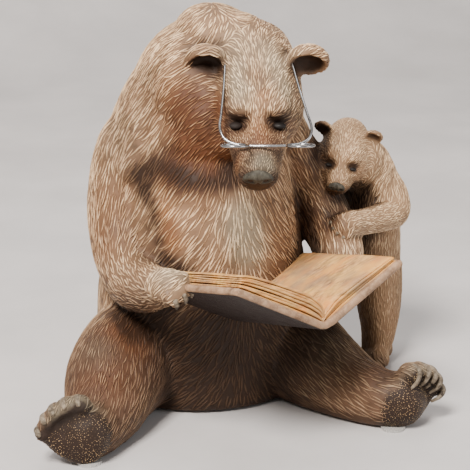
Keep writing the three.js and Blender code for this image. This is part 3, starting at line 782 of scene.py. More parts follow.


# The paint's places: (x, y, z, reach, strength) of each wash; the shade wash is painted shade in part and dark paint
# in part

WASHES = {
    "verdigris": [
        (-3, -42, 195, 9, 0.6), (-5, -49, 187, 8, 0.7), (-3, -57, 178, 8, 0.9), (19, -50, 192, 9, 0.7),
        (22, -60, 180, 9, 0.8), (18, -40, 199, 10, 0.5), (2, -30, 203, 10, 0.4), (2, -84, 150, 7, 0.9),
        (3, -87, 145, 6, 0.8), (1, -48, 111, 12, 0.8), (3, -51, 101, 12, 0.9), (4, -52, 90, 10, 0.8),
        (-47, -88, 94, 11, 0.8), (-42, -60, 93, 9, 0.3), (-94, -102, 33, 14, 0.9), (-104, -100, 28, 10, 0.8),
        (84, -104, 32, 14, 0.8), (95, -98, 30, 10, 0.6), (-81, -57, 46, 12, 0.35), (45, -60, 36, 16, 0.45),
        (0, 45, 190, 30, 0.3), (-60, -2, 150, 14, 0.15),
    ],
    "copper": [
        (-38, -36, 112, 6, 0.9), (-36, -40, 103, 6, 0.9), (-35, -43, 95, 6, 0.8), (-22, -40, 140, 14, 0.9),
        (-9, -48, 141, 12, 0.8), (-38, -30, 127, 9, 0.6), (-28, -38, 132, 9, 0.6), (22, -50, 140, 14, 0.6),
        (-22, -40, 162, 18, 0.7), (-28, -30, 172, 16, 0.6), (-12, -50, 166, 9, 0.8), (8, -62, 178, 4.5, 0.9),
        (8, -52, 189, 5, 0.7), (4, -70, 163, 8, 0.8), (3, -76, 157, 5, 0.6), (-66, -48, 52, 9, 1),
        (-60, -55, 47, 9, 1), (37, -24, 102, 10, 0.8), (46, -17, 92, 9, 0.8), (-10, -73, 143, 6, 1.0),
        (43, -12, 125, 12, 0.5), (-63, -12, 114, 12, 0.4), (-68, -17, 94, 14, 0.4), (104, -2, 23, 14, 0.6),
        (-80, -72, 34, 16, 0.5), (-20, -48, 120, 14, 0.3), (20, -44, 96, 16, 0.4), (-10, 58, 100, 30, 0.4),
        (30, 50, 130, 25, 0.3), (-60, -40, 30, 24, 0.3), (96, 2, 70, 16, 0.3), (60, -75, 22, 14, 0.3),
        (-100, -104, 14, 9, 0.5), (78, -17, 122, 6, 0.5), (62, -22, 118, 5, 0.5), (58, -24, 90, 8, 0.5),
    ],
    # painted shade, with some dark paint: the eye hollows, under the chin and along the muzzle, the armpit creases,
    # under the book and the cub's paw, and over the legs
    "shade": [
        *((*placed(np.array([x, 6.5, 44.5]), HEAD), 4.6, 1.0) for x in (-14.5, -10, 10, 14.5)),
        *((*placed(np.array([x, 6.5, 35.2]), CUB_HEAD), 2.8, 1.0) for x in (-13, -9, 9, 13)),
        (-5, -84, 138, 7, 1.0), (2, -86, 137, 7, 1.0), (-10, -78, 138, 6, 0.9), (8, -82, 138, 6, 0.8),
        (*placed(np.array([0, -15, 66]), HEAD), 8.5, 0.9), (*placed(np.array([0, -14, 73]), HEAD), 9, 1.0),
        (*placed(np.array([0, -14, 50]), CUB_HEAD), 5, 0.7), (-9, -68, 146, 5, 0.6), (-11, -62, 154, 5, 0.4),
        (13, -76, 149, 5, 0.6), (-8, -54, 47, 24, 0.9), (-23, -52, 34, 24, 1.0), (3, -53, 37, 24, 1.0),
        (27, -48, 40, 18, 0.9), (0, -54, 15, 24, 1.0), (-49, -17, 130, 5.5, 0.8), (-41, -25, 136, 7, 0.8),
        (-44, -22, 126, 8, 0.55), (-30, -35, 128, 8, 0.5), (-47, -21, 121, 5, 0.8), (-45, -26, 117, 4.5, 0.9),
        (-43, -31, 112, 4, 0.8), (-43, -34, 106, 3.5, 0.8), (-42, -38, 97, 3.5, 0.8), (-40, -42, 89, 3.5, 0.8),
        (-33, -34, 134, 7, 0.7), (-26, -40, 130, 7, 0.7), (-18, -43, 128, 7, 0.6), (-10, -44, 128, 7, 0.6),
        (-3, -46, 130, 6, 0.7), (-20, -46, 138, 7, 0.35), (-40, -20, 128, 8, 0.4), (8, -46, 130, 7, 0.5),
        (-24, -34, 168, 12, 0.4), (-14, -45, 160, 8, 0.5), (52, -8, 134, 10, 0.3), (30, -44, 150, 10, 0.3),
        (57, -9, 132, 7, 0.5), (65, -22, 113, 5, 0.5), (56, -27, 95, 4, 0.7), (61, -30, 90, 4, 0.7),
        (70, -29, 90, 4, 0.5), (57, -25, 102, 3.5, 0.5), (-58, -62, 66, 18, 0.5), (-60, -45, 30, 22, 0.5),
        (48, -60, 30, 18, 0.35), (60, -30, 55, 18, 0.3), (-84, -50, 24, 22, 0.35), (75, -84, 20, 16, 0.3),
    ],
    "thin": [
        (-24, -36, 168, 18, 1.0), (-20, -42, 152, 16, 1.0), (-22, -40, 138, 14, 1.0), (-8, -48, 140, 12, 0.9),
        (-33, -30, 135, 10, 0.8), (20, -50, 150, 16, 0.8), (-8, -68, 148, 9, 0.8), (13, -74, 152, 8, 0.6),
        (-9, -54, 165, 8, 0.8), (18, -62, 166, 8, 0.5), (3, -75, 158, 8, 0.7), (2, -84, 148, 8, 0.55),
        (8, -80, 152, 8, 0.4), (-4, -78, 152, 8, 0.5), (10, -50, 184, 6, 0.5), (-12, -52, 174, 7, 0.6),
        (24, -52, 176, 7, 0.5), (9, -60, 180, 4, 0.6), (-78, -62, 36, 30, 0.8), (-64, -50, 46, 20, 0.7),
        (-92, -88, 24, 20, 0.8), (50, -60, 26, 30, 0.55), (78, -84, 22, 20, 0.6), (-62, -16, 90, 16, 0.5),
        (-58, -6, 112, 12, 0.3), (46, -20, 105, 22, 0.4), (76, -18, 120, 7, 0.6), (62, -12, 126, 7, 0.5),
        (60, -30, 97, 7, 0.4), (96, -2, 50, 24, 0.5), (24, -42, 80, 18, 0.5), (0, 50, 60, 50, 0.5),
        (-38, -40, 104, 6, 0.5),
    ],
}


def wash(points, name):
    """The sum of a wash's round spots, each falling off as a bell curve with the square of the distance."""
    total = np.zeros(len(points))
    for x, y, z, reach, strength in WASHES[name]:
        total += strength * np.exp(-np.sum((points - (x, y, z)) ** 2, axis=1) / reach**2)
    return np.clip(total, 0, 1)


def crowding(points, ups, reach, away):
    """How much surface lies round a place a little off the skin: all surface, blurred by a bell curve, read there.

    The surface is counted into cubes, and the blur is a product with the bell curve's own transform.
    """
    cell, half = 3.0, 160  # of the cubes, and of the ground's square
    low = np.array([-170.0, -170.0, -60.0])
    shape = (120, 120, 100)
    tiles = np.arange(-half, half, cell)
    ground = np.array(np.meshgrid(tiles, tiles, [0.0])).reshape(3, -1).T
    counted = np.vstack([skin_points, ground])
    weight = np.concatenate([np.full(len(skin_points), VOXEL**2), np.full(len(ground), cell**2)])
    number = lambda p: np.clip(((p - low) / cell).astype(np.int64), 0, np.array(shape) - 1)
    index = number(counted)
    flat = (index[:, 0] * shape[1] + index[:, 1]) * shape[2] + index[:, 2]
    field = np.bincount(flat, weight, np.prod(shape)).reshape(shape)
    waves = [np.fft.fftfreq(n, cell) for n in shape[:2]] + [np.fft.rfftfreq(shape[2], cell)]
    square = waves[0][:, None, None] ** 2 + waves[1][None, :, None] ** 2 + waves[2][None, None, :] ** 2
    blurred = np.fft.irfftn(np.fft.rfftn(field) * np.exp(-2 * (np.pi * reach) ** 2 * square), shape) / cell**3
    at = number(points + ups * away)
    plane = np.exp(-((away / reach) ** 2) / 2) / np.sqrt(2 * np.pi) / reach
    return blurred[at[:, 0], at[:, 1], at[:, 2]] / plane


# Painted shade: creases (close) and hollows (deep) darken by how much surface crowds round them, the ground's too
close = relax(crowding(skin_points, normals, 6.0, 8.0), 3)
deep = relax(crowding(skin_points, normals, 16.0, 22.0), 3)
CREASE, HOLLOW = (2.3, 2.6), (3.9, 3.2)  # the crowding at which each starts to paint shade, and how much more fills it
parts = [np.clip((crowd - least) / more, 0, 1) for crowd, (least, more) in ((close, CREASE), (deep, HOLLOW))]
recess_shade = np.clip(sum(parts), 0, 1)


def paint_values(mesh, points, home, **values):
    """Keeps each wash and the named values at a mesh's points, with the painted shade of creases and hollows at its
    nearest skin added to the shade wash.
    """
    for name in WASHES:
        there = wash(points, name)
        attribute(mesh, name, np.clip(there + recess_shade[home], 0, 1) if name == "shade" else there)
    for name, there in values.items():
        attribute(mesh, name, there)


is_cub = relax(np.isin(owner, [k for k, name in enumerate(FUR) if name.startswith("cub")]), 4)
hidden = relax(bare, 1)
# no dry brush on the soles, for their dark paint, nor in the ear bowls, as painted shade there
paint_values(
    body.data, skin_points, np.arange(len(skin_points)), cub=is_cub, crest=np.where(soles | bowls, 0, hidden * 0.3),
    stroke=np.full(len(skin_points), 0.5), sole=relax(soles, 1),
)


SEEDS_A_STROKE = 9  # scattered before the thinning


def fur_strokes(wanted):
    """Seeds over the skin of one group of forms: random places on its quads, as many as their area asks, thinned."""
    quads = rows_of(body.data.polygons, "vertices", 4, np.int32)
    quads = quads[(group[quads[:, 0]] == wanted) & ~bare[quads].any(axis=1)]
    corner = skin_points[quads]
    area = 0.5 * np.linalg.norm(np.cross(corner[:, 2] - corner[:, 0], corner[:, 3] - corner[:, 1]), axis=1)
    density = SEEDS_A_STROKE * area / (spacing[quads[:, 0]] * length[quads[:, 0]])
    picked = quads[np.repeat(np.arange(len(quads)), rng.poisson(density))]
    s, t = rng.random((2, len(picked), 1))
    p = skin_points[picked]
    seeds = (p[:, 0] * (1 - s) + p[:, 1] * s) * (1 - t) + (p[:, 3] * (1 - s) + p[:, 2] * s) * t
    home = picked[:, 0]
    kept = spread_out(seeds, flow[home], normals[home], spacing[home], length[home])
    return seeds[kept], home[kept]


nearest_skin = lookup(skin_points, 2.2)
STEPS = 3  # of a stroke, each way from its seed
ROOT = 0.12  # how far a stroke's edges sink below the skin
STROKE_WIDTH = 0.57  # half a stroke's, as a share of the spacing


def march(seeds, home, span, bend, way):
    """Steps along the flow, turned by a bend that grows with each step, and brought back to the skin after each.

    Each turned direction is the flow times the bend's cosine, and its cross product with the normal times the sine.
    """
    places, ups = [], []
    p, k = seeds, home
    for step in range(STEPS):
        n, f = normals[k], flow[k]
        angle = bend * (0.6 + 0.4 * way * (step + 0.5))
        f = f * np.cos(angle)[:, None] + np.cross(n, f) * np.sin(angle)[:, None]
        p = p + way * f * (span / (2 * STEPS))[:, None]
        k = nearest_skin(p)
        p = skin_points[k] + in_skin(p - skin_points[k], normals[k])
        places.append(p)
        ups.append(normals[k])
    return places, ups


def fur_piece(name, wanted):
    """One object of many strokes: each a ridge with a four-sided section that thins to a point at both ends."""
    seeds, home = fur_strokes(wanted)
    span = length[home] * rng.uniform(0.7, 1.3, len(home))
    bend = rng.normal(0, 0.2, len(home))
    on, up_on = march(seeds, home, span, bend, 1)
    off, up_off = march(seeds, home, span, bend, -1)
    line = np.stack(off[::-1] + [seeds] + on, axis=1)
    up = np.stack(up_off[::-1] + [normals[home]] + up_on, axis=1)
    run = unit(np.gradient(line, axis=1))
    side = unit(np.cross(up, run))
    s = np.linspace(0, 1, 2 * STEPS + 1)
    width = np.sin(np.pi * s**0.8) ** 0.75
    wide = STROKE_WIDTH * spacing[home] * rng.uniform(0.7, 1.1, len(home))
    tall = height[home] * rng.uniform(0.75, 1.25, len(home))
    rise = np.sin(np.pi * np.clip(s, 0.02, 0.98) ** 1.15) ** 0.6
    inner = slice(1, 2 * STEPS)
    w = (wide[:, None] * width)[:, inner, None]
    h = (tall[:, None] * rise)[:, inner, None]
    mid, n, a = line[:, inner], up[:, inner], side[:, inner]
    corners = [mid - a * w - n * ROOT, mid + n * h, mid + a * w - n * ROOT, mid - n * (0.35 + 0.4 * h)]
    rings = np.stack(corners, axis=2)
    ends = np.stack([line[:, 0] - up[:, 0] * 0.25, line[:, -1] + up[:, -1] * 0.05], axis=1)
    count, rows = len(seeds), 2 * STEPS - 1
    each = rows * 4 + 2
    points = np.concatenate([rings.reshape(count, -1, 3), ends], axis=1).reshape(-1, 3)
    shift = (np.arange(count) * each)[:, None, None]
    faces = [(block[None, :, ::-1] + shift).reshape(-1, block.shape[1]) for block in ring_faces(rows, 4)]
    piece = mesh_piece(name, [(points, faces)])
    crest = np.concatenate([np.tile([0, 1, 0, 0], rows), [0.2, 0.5]])
    strength = np.concatenate([np.repeat(rise[inner], 4), [1, 1]])
    cub, stroke = np.repeat([is_cub[home], rng.random(count)], each, axis=1)
    paint_values(
        piece.data, points, np.repeat(home, each), cub=cub, crest=np.tile(crest * strength, count), stroke=stroke
    )
    print(name, count, "strokes")
    return piece


fur = [fur_piece("fur_" + n, k) for k, n in enumerate(group_names)]


# Nose, eyes, sole dots


def nose_pad(own, muzzle):
    """A flattened ball across the muzzle's end, creased down its middle, with two nostrils sunk into its front."""
    points, faces = ball((0, 0, 0), (7.8, 4.4, 4.4), 72, 48)
    x, y, z = points.T
    y = y + 0.9 * np.clip(z / 4, 0, 1) - 0.02 * x**2
    z = z - 1.1 * np.exp(-((x / 1.0) ** 2)) * (z > 0)
    for side in (-1, 1):
        z = z - 3.0 * np.exp(-(((x - side * 3.9) / 1.7) ** 2 + ((y + 1.1) / 1.2) ** 2)) * (z > 0)
    points = np.stack([x, y, z], axis=1)
    turn, _ = axes((0, 0, 0), (0, 0.12, 1), UP_Y)
    ahead = 0 if muzzle == 1 else 2.2
    points = points @ turn + (0, -2.2, drawn_in(75.5, muzzle) + ahead)
    return placed(points, own), faces


def mouth_line(own, muzzle):
    """A thin dark roll along the parting of the lips, from one cheek round the front to the other."""
    turn = np.linspace(-1, 1, 9)
    ahead = [drawn_in(58 + 15.5 * np.cos(t * 1.5), muzzle) for t in turn]
    stations = [[12.4 * np.sin(t * 1.45), -9.5 - 1.2 * t**2, z, 0.5, 0.5] for t, z in zip(turn, ahead)]
    points, faces = skin(stations, UP_Y, 10, 60, (0.8, 0.8))
    return placed(points, own), faces


def eye_ball(own, muzzle, side):
    """A low dark eyeball, an ellipsoid sunk in its socket under the brow."""
    points, faces = ball((side * 11.2, 4.1, drawn_in(45, muzzle)), (3.3, 1.5, 2.3), 32, 20)
    return placed(points, own), faces


nose_piece = mesh_piece("noses", [nose_pad(*head) for head in HEADS])
mouth_piece = mesh_piece("mouths", [mouth_line(*head) for head in HEADS])
eye_piece = mesh_piece("eyes", [eye_ball(*head, side) for head in HEADS for side in (-1, 1)])


def beads(name, at, up, radius):
    """Low six-sided domes: a ring of points round each place, sunk a little, one above it and one below."""
    side = unit(np.cross(up, unit(up[:, ::-1] + (0.3, 0.1, -0.2))))
    ahead = np.cross(up, side)
    turn = np.arange(6) * np.pi / 3
    out = side[:, None] * np.cos(turn)[:, None] + ahead[:, None] * np.sin(turn)[:, None]
    ring = at[:, None] + radius[:, None, None] * out - 0.15 * up[:, None]
    tops = (at + up * radius[:, None] * 0.55)[:, None]
    below = (at - up * 0.5)[:, None]
    points = np.concatenate([ring, tops, below], axis=1).reshape(-1, 3)
    k = np.arange(6)
    caps = np.stack([k, (k + 1) % 6, np.full(6, 6)], axis=1)
    floors = np.stack([(k + 1) % 6, k, np.full(6, 7)], axis=1)
    shift = (np.arange(len(at)) * 8)[:, None, None]
    return mesh_piece(name, [(points, [(fold + shift).reshape(-1, 3) for fold in (caps, floors)])])


def scatter(mask, apart, tries):
    """Places over the masked skin, no two closer than the given distance."""
    k = rng.choice(np.flatnonzero(mask), tries)
    at = skin_points[k] + in_skin(rng.uniform(-0.7, 0.7, (tries, 3)), normals[k])
    i, j = near_pairs(at, apart)
    rank = np.argsort(rng.permutation(tries))
    later = rank[i] > rank[j]
    free = np.ones(tries, bool)
    free[i[later]] = False
    return at[free], normals[k[free]]


treads = soles & ((localised(skin_points, RIGHT_FOOT)[:, 1] < 6) | (skin_points[:, 0] > 0))
DOT_GAP, DOT_TRIES = 0.78, 6500
dots_at, dots_up = scatter(treads, DOT_GAP, DOT_TRIES)
dot_piece = beads("sole_dots", dots_at, dots_up, rng.uniform(0.2, 0.42, len(dots_at)))

claw_piece = mesh_piece("claws", claws)
boards_piece = mesh_piece("book_boards", [book_boards()])
pages_piece = mesh_piece("book_pages", book_pages(1, 4) + book_pages(-1, 7))


# The spectacles, on the head's axes, at the same places as in the CAD model

WIRE, LENS, FIT_GAP = 1.4, 15.0, 0.3  # the wire's and a ring's diameters, and the gap to the casting


def tube(path, radius, around=16, closed=False):
    """A round tube along a path: circles square to it, each measured from one fixed direction."""
    steps = np.roll(path, -1, axis=0) - np.roll(path, 1, axis=0) if closed else np.gradient(path, axis=0)
    run = unit(steps)
    side = unit(np.cross(run, (0.13, 0.31, 0.94)))
    rise = np.cross(run, side)
    turn = 2 * np.pi * np.arange(around) / around
    offset = side[:, None] * np.cos(turn)[:, None] + rise[:, None] * np.sin(turn)[:, None]
    rings = (path[:, None] + radius * offset).reshape(-1, 3)
    quads, low, high = ring_faces(len(path), around)
    if closed:
        k, last = np.arange(around), (len(path) - 1) * around
        seam = np.stack([last + k, last + (k + 1) % around, (k + 1) % around, k], axis=1)
        return rings, [np.vstack([quads, seam])]
    return np.vstack([rings, path[0] - run[0] * radius * 0.5, path[-1] + run[-1] * radius * 0.5]), [quads, low, high]


def spectacles():
    """One wire from ear to ear over the muzzle, and two circles of wire, each a small gap off the face."""
    apart = WIRE / 2 + FIT_GAP
    lens = (LENS - WIRE) / 2
    half = [
        [16.6, 16.1, 8], [18.3, 13.9, 25], [20.8, 11.6, 43], [22.3, 9.5, 54], [20.1, 7.9, 59.5], [14.7, 7, 62.5],
        [7.4, 6.7, 63.5],
    ]

    def beside(side, place):
        """A place moved out from the head's middle line, by the wire's radius and the gap."""
        x, y, z = place
        return np.array([side * x + 0.075 * z, y, z]) + unit((side * x, y + 3, 0)) * apart

    line = [beside(1, p) for p in half] + [beside(1, [0, 6.9, 64])] + [beside(-1, p) for p in half[::-1]]
    made = [tube(catmull(line, np.linspace(0, 1, 200)), WIRE / 2)]
    turn = 2 * np.pi * np.arange(72) / 72
    up = np.array([0, 0.63, 0.77])
    for side in (-1, 1):
        centre = beside(side, [15.6, 6.9, 62.3]) + lens * up
        ring = centre + lens * (np.outer(np.cos(turn), UP_X) + np.outer(np.sin(turn), up))
        made.append(tube(ring, WIRE / 2, closed=True))
    return put(made, HEAD)


wire_piece = mesh_piece("bent_wire", spectacles())


# Materials

FLOAT, COLOUR = "NodeSocketFloat", "NodeSocketColor"
GRAIN = 0.0003  # height of most paints' grain


def fill(tree, made, inputs):
    """Gives a node its inputs: each is a plain value, or a socket to link from."""
    for key, value in inputs.items():
        if isinstance(value, bpy.types.NodeSocket):
            tree.links.new(value, made.inputs[key])
        else:
            made.inputs[key].default_value = value
    return made


def add(tree, kind, inputs=None, **settings):
    """A node's outputs, once it has its settings and inputs."""
    made = tree.nodes.new(kind)
    for key, value in settings.items():
        setattr(made, key, value)
    return fill(tree, made, inputs or {}).outputs


def blend(tree, share, a, b):
    """A colour between two: the first, and the share of the way from there to the second."""
    wrap = lambda c: (*c, 1) if isinstance(c, tuple) else c
    return add(tree, "ShaderNodeMix", {0: share, 6: wrap(a), 7: wrap(b)}, data_type="RGBA")[2]


def maths(tree, kind, a, b, clamp=False):
    """Two values put together, kept from 0 to 1 if clamped."""
    return add(tree, "ShaderNodeMath", {0: a, 1: b}, operation=kind, use_clamp=clamp)[0]


def times(tree, first, *others):
    """The product of values."""
    for other in others:
        first = maths(tree, "MULTIPLY", first, other)
    return first


def layered(tree, color, *layers):
    """Colours blended in one after another, each (mask, amount, colour) by its mask times its amount."""
    for mask, amount, tint in layers:
        color = blend(tree, times(tree, mask, amount), color, tint)
    return color


def stretch(tree, value, low, high, to_low=0.0, to_high=1.0):
    """A value brought from one range to another, and kept inside it."""
    return add(tree, "ShaderNodeMapRange", {0: value, 1: low, 2: high, 3: to_low, 4: to_high})[0]


def spanned(tree, mask, at_none, at_full):
    """A value that goes from one number to another as the mask goes from 0 to 1."""
    return stretch(tree, mask, 0, 1, at_none, at_full)


def noise(tree, vector, scale, detail=3.0, rough=0.55):
    """Soft noise from 0 to 1, with so many blotches a metre."""
    values = {"Vector": vector, "Scale": scale, "Detail": detail, "Roughness": rough}
    return add(tree, "ShaderNodeTexNoise", values)[0]


def stored(tree, name):
    """A value kept at the mesh's points."""
    return add(tree, "ShaderNodeAttribute", attribute_name=name)["Fac"]


def located(tree, kind="Object"):
    """The surface's place, or its normal, on the object's own axes."""
    return add(tree, "ShaderNodeTexCoord")[kind]


def upright(tree, vector):
    """A vector's part along z."""
    return add(tree, "ShaderNodeSeparateXYZ", {0: vector})["Z"]


def grouped(tree, group, inputs=None):
    """The outputs of a shared group of nodes, used in this tree."""
    return add(tree, "ShaderNodeGroup", inputs, node_tree=group)


def node_group(name, takes, gives):
    """An empty group of nodes whose inputs are values, with its input sockets and its output node."""
    tree = bpy.data.node_groups.new(name, "ShaderNodeTree")
    for label in takes:
        tree.interface.new_socket(label, in_out="INPUT", socket_type=FLOAT)
    for label in gives:
        tree.interface.new_socket(label, in_out="OUTPUT", socket_type=COLOUR if label == "Color" else FLOAT)
    return tree, tree.nodes.new("NodeGroupInput").outputs, tree.nodes.new("NodeGroupOutput")


def uneven_paint():
    """Three sizes of blotch and a fine grain, as masks that all the painted pieces share: noise, stretched."""
    rows = {  # name: scale, detail and roughness of the noise, and the range of it that is stretched
        "Broad": (28.0, 3.0, 0.55, 0.38, 0.62), "Patch": (95.0, 4.0, 0.6, 0.36, 0.64),
        "Speck": (420.0, 4.0, 0.65, 0.4, 0.62), "Grain": (1500.0, 3.0, 0.6, 0.0, 1.0),
    }
    tree, _, out = node_group("uneven_paint", [], rows)
    at = located(tree)
    for label, (scale, detail, rough, low, high) in rows.items():
        tree.links.new(stretch(tree, noise(tree, at, scale, detail, rough), low, high), out.inputs[label])
    return tree


uneven = uneven_paint()


def dry_brushed():
    """Dark wash and painted shade in the low places, a dry brush of pale paint on the crests, and the tinted washes
    over both; the shade attribute and the figure's low parts get painted shade.
    """
    tree, given, out = node_group("dry_brushed", ["Crest", "Lift", "Depth"], ["Color", "Roughness", "Height"])
    paint = grouped(tree, uneven)
    broad, patch, speck = paint["Broad"], paint["Patch"], paint["Speck"]
    green, copper, shade, thin, cub, stroke, sole = (
        stored(tree, name) for name in ("verdigris", "copper", "shade", "thin", "cub", "stroke", "sole")
    )
    ground = layered(
        tree, blend(tree, patch, (0.036, 0.019, 0.011), (0.105, 0.053, 0.030)), (broad, 0.5, (0.15, 0.077, 0.042)),
        (thin, 0.55, (0.045, 0.021, 0.012)), (copper, 0.6, (0.15, 0.050, 0.017)),
        (green, 0.6, (0.14, 0.125, 0.088)), (cub, 0.6, (0.25, 0.145, 0.075)),
    )
    # dark wash and painted shade at the strokes' roots, by the depth
    ground = blend(tree, given["Depth"], ground, (0.024, 0.013, 0.009))
    top = times(tree, stretch(tree, given["Crest"], 0.55, 0.9), spanned(tree, stroke, 0.35, 1))
    brush = layered(
        tree, blend(tree, patch, (0.56, 0.315, 0.155), (0.84, 0.54, 0.30)), (stroke, 0.35, (0.92, 0.70, 0.47)),
        (thin, 0.5, (0.78, 0.45, 0.22)), (copper, 0.55, (0.76, 0.36, 0.13)), (green, 0.6, (0.66, 0.60, 0.42)),
        (cub, 0.5, (0.78, 0.55, 0.33)), (top, spanned(tree, thin, 1, 0.45), (1.0, 0.75, 0.46)),
    )
    crest = stretch(tree, maths(tree, "SUBTRACT", given["Crest"], times(tree, thin, 0.4)), 0.21, 0.43)
    amount = times(tree, crest, spanned(tree, speck, 0.6, 1), spanned(tree, broad, 0.6, 1))
    amount = maths(tree, "MULTIPLY", amount, spanned(tree, stroke, 0.5, 1.15), clamp=True)
    # painted shade of the figure's low parts: less dry brush and lift below 90 mm, least below 30 mm
    height = upright(tree, located(tree))
    shaded_low = lambda least: stretch(tree, height, 0.03, 0.09, least, 1)
    # less dry brush under painted shade and the thin wash
    amount = times(tree, amount, spanned(tree, shade, 1, 0.2), spanned(tree, thin, 1, 0.72), shaded_low(0.4))
    # less lift under painted shade and the thin wash
    bare = stretch(tree, maths(tree, "ADD", shade, thin), 0, 1.1, 1, 0)
    lift = times(tree, given["Lift"], spanned(tree, broad, 0.6, 1.25), bare, shaded_low(0.3))
    # painted shade: a dark veil by the shade attribute, lighter on the crests; then the soles' own dark paint
    color = layered(
        tree, blend(tree, maths(tree, "ADD", amount, lift, clamp=True), ground, brush),
        (shade, spanned(tree, crest, 0.92, 0.6), (0.021, 0.0105, 0.006)), (sole, 0.94, (0.019, 0.0105, 0.0075)),
    )
    grain = maths(tree, "ADD", paint["Grain"], times(tree, speck, 0.8))
    fill(tree, out, {"Color": color, "Roughness": spanned(tree, patch, 0.46, 0.64), "Height": grain})
    return tree


brushed = dry_brushed()


def material(name, look, *numbers, **values):
    """A new material: its look, given its numbers, makes the colour, the roughness and the bump."""
    made = bpy.data.materials.new(name)
    made.use_nodes = True
    tree = made.node_tree
    color, roughness, height, strength, distance = look(tree, *numbers)
    bump = add(tree, "ShaderNodeBump", {"Height": height, "Strength": strength, "Distance": distance})["Normal"]
    linked = {"Specular IOR Level": 0.22, "Base Color": color, "Roughness": roughness, "Normal": bump}
    fill(tree, tree.nodes["Principled BSDF"], {**linked, **values})
    return made


def resin_paint(tree, lift, depth):
    """The painted casting: the dry-brushed colours with a fine grain, and dark wash with painted shade in the low
    places, times the depth.
    """
    crest = stored(tree, "crest")
    deep = times(tree, stretch(tree, crest, 0.15, 0.38, 1, 0), depth)
    coat = grouped(tree, brushed, {"Crest": crest, "Lift": lift, "Depth": deep})
    return coat["Color"], coat["Roughness"], coat["Height"], 0.35, GRAIN


def dark_paint(tree, low, high, worn, amount):
    """A plainer painted part: two tones in patches, with an amount of paler worn specks."""
    paint = grouped(tree, uneven)
    color = layered(tree, blend(tree, paint["Patch"], low, high), (paint["Speck"], amount, worn))
    return color, spanned(tree, paint["Patch"], 0.5, 0.65), paint["Grain"], 0.4, GRAIN


def page_paint(tree, along):
    """Painted pages: peach, orange and yellow dragged across each page as stretched noise, paler where worn."""
    paint = grouped(tree, uneven)
    turned = add(tree, "ShaderNodeVectorRotate", {"Vector": located(tree), "Angle": along}, rotation_type="Z_AXIS")[0]
    dragged = add(tree, "ShaderNodeMapping", {"Vector": turned, "Scale": (0.12, 1.0, 1.0)})[0]
    streak = stretch(tree, noise(tree, dragged, 520.0, 4.0, 0.6), 0.36, 0.64)
    broad = stretch(tree, noise(tree, dragged, 110.0, 3.0, 0.6), 0.42, 0.62)
    color = layered(
        tree, blend(tree, streak, (0.19, 0.095, 0.045), (0.64, 0.355, 0.155)), (broad, 0.85, (0.66, 0.26, 0.06)),
        (paint["Patch"], 0.45, (0.80, 0.48, 0.13)),
        (stretch(tree, paint["Broad"], 0.45, 0.95), 0.55, (0.24, 0.175, 0.125)),
    )
    return color, spanned(tree, streak, 0.5, 0.62), streak, 0.35, GRAIN


def board_paint(tree):
    """The book's boards: pinkish tan on the edges that show, and painted shade, nearly black brown, where the surface
    faces down.
    """
    paint = grouped(tree, uneven)
    # painted shade: darker as the surface's normal turns down
    under = stretch(tree, upright(tree, located(tree, "Normal")), -0.55, -0.8)
    color = layered(
        tree, blend(tree, paint["Patch"], (0.14, 0.078, 0.045), (0.38, 0.225, 0.13)),
        (paint["Speck"], 0.45, (0.50, 0.345, 0.225)), (paint["Broad"], 0.35, (0.24, 0.15, 0.09)),
        (under, 1.0, (0.022, 0.014, 0.012)),
    )
    return color, spanned(tree, paint["Patch"], 0.45, 0.62), paint["Speck"], 0.45, 0.0005


def wire_steel(tree):
    """Drawn steel: two near greys in patches, with small scuffs."""
    patch = grouped(tree, uneven)["Patch"]
    color = blend(tree, patch, (0.26, 0.26, 0.265), (0.42, 0.42, 0.43))
    return color, spanned(tree, patch, 0.18, 0.28), patch, 0.05, 0.00005


def pad_gel(tree):
    """Milky clear silicone in two near tones."""
    paint = grouped(tree, uneven)
    color = blend(tree, paint["Patch"], (0.80, 0.77, 0.72), (0.90, 0.88, 0.85))
    return color, spanned(tree, paint["Speck"], 0.2, 0.4), paint["Grain"], 0.1, 0.0001


def table_paint(tree):
    """A pale grey table with faint blotches of noise."""
    at = located(tree)
    blotch = stretch(tree, noise(tree, at, 9.0, 5.0, 0.6), 0.35, 0.65)
    color = blend(tree, blotch, (0.50, 0.478, 0.47), (0.57, 0.545, 0.535))
    return color, spanned(tree, blotch, 0.6, 0.75), noise(tree, at, 400.0), 0.08, 0.0004


# the skin gets no painted shade at roots (depth 0); the fur's strokes get it at their edges
skin_paint = material("painted_skin", resin_paint, 0.14, 0.0)
fur_paint = material("brushed_fur", resin_paint, 0.0, 0.95)
claw_paint, nose_paint, black_paint, gold_paint = (
    material(name, dark_paint, *numbers)
    for name, *numbers in (
        ("worn_claws", (0.03, 0.021, 0.014), (0.15, 0.115, 0.08), (0.38, 0.31, 0.225), 0.45),
        ("nose_bronze", (0.014, 0.011, 0.008), (0.045, 0.040, 0.030), (0.12, 0.11, 0.083), 0.4),
        ("dark_recess", (0.005, 0.0035, 0.003), (0.013, 0.008, 0.006), (0.013, 0.008, 0.006), 0.0),
        ("gold_dots", (0.09, 0.05, 0.025), (0.46, 0.30, 0.15), (0.62, 0.47, 0.28), 0.4),
    )
)
page_material = material("painted_pages", page_paint, -0.35)
board_material = material("painted_boards", board_paint)
silicone = material("clear_silicone", pad_gel, **{"Transmission Weight": 0.55, "IOR": 1.42})
steel = material("drawn_steel", wire_steel, Metallic=1.0)
dressed = [
    (body, skin_paint), (claw_piece, claw_paint), (boards_piece, board_material), (pages_piece, page_material),
    (nose_piece, nose_paint), (mouth_piece, black_paint), (eye_piece, black_paint), (dot_piece, gold_paint),
    *((piece, fur_paint) for piece in fur), (wire_piece, steel),
]
for piece, coat in dressed:
    piece.data.materials.clear()
    piece.data.materials.append(coat)
    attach(piece, "root")
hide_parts("bear_casting")
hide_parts("spectacles")
for name in ("heel_pad_right", "heel_pad_left", "seat_pad_right", "seat_pad_left"):
    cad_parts[name].material_slots[0].material = silicone


# Floor, light and camera


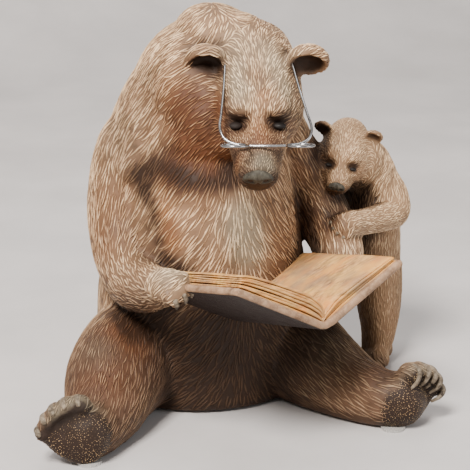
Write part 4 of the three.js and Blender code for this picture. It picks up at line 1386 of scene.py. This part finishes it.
def table_top():
    """A floor that curves up far behind the figure: a straight run, a quarter circle and a straight rise."""
    turn = np.linspace(0, np.pi / 2, 17)
    y = np.concatenate([[-1.6, 0.5], 0.9 + 0.5 * np.sin(turn), [1.4]])
    z = np.concatenate([[0, 0], 0.5 - 0.5 * np.cos(turn), [2.4]])
    x = np.array([-2.2, 2.2])
    points = np.stack(np.broadcast_arrays(x[None, :], y[:, None], z[:, None]), axis=-1).reshape(-1, 3)
    k = np.arange(len(y) - 1) * 2
    faces = np.stack([k, k + 1, k + 3, k + 2], axis=1)
    return points * 1000 - SHIFT, [faces]


floor = mesh_piece("floor", [table_top()])
floor.data.materials.append(material("pale_table", table_paint))


def pointed(direction):
    """The turn that points a lamp or a camera along a direction."""
    return Vector(direction).to_track_quat("-Z", "Y").to_euler()


def area_light(name, place, size, power, color):
    """A square lamp at a place, turned towards the figure's middle."""
    data = bpy.data.lights.new(name, "AREA")
    data.shape = "SQUARE"
    data.size = size
    data.energy = power
    data.color = color
    lamp = bpy.data.objects.new(name, data)
    lamp.location = place
    lamp.rotation_euler = pointed(Vector((0, 0, 0.1)) - Vector(place))
    bpy.context.scene.collection.objects.link(lamp)


area_light("window", (-0.65, -0.85, 1.35), 0.5, 62, (1.0, 0.94, 0.88))
area_light("fill", (1.3, -1.0, 0.6), 1.0, 12, (0.95, 0.97, 1.0))
area_light("above", (0.1, 0.5, 1.6), 1.2, 16, (1, 0.98, 0.96))

world = bpy.data.worlds.new("studio")
world.use_nodes = True
sky = {"Color": (0.83, 0.80, 0.77, 1), "Strength": 0.5}
fill(world.node_tree, world.node_tree.nodes["Background"], sky)
bpy.context.scene.world = world

DISTANCE = 0.9  # of the camera, in metres, from the place it looks at
azimuth, elevation = np.radians(-15), np.radians(16)
back = np.array([np.sin(azimuth) * np.cos(elevation), -np.cos(azimuth) * np.cos(elevation), np.sin(elevation)])
target = (np.array([9, -3, 87]) + SHIFT) / 1000
eye = bpy.data.cameras.new("eye")
eye.sensor_width = 36
eye.lens = 123.1
camera = bpy.data.objects.new("eye", eye)
camera.location = target + back * DISTANCE
camera.rotation_euler = pointed(-back)
bpy.context.scene.collection.objects.link(camera)
bpy.context.scene.camera = camera
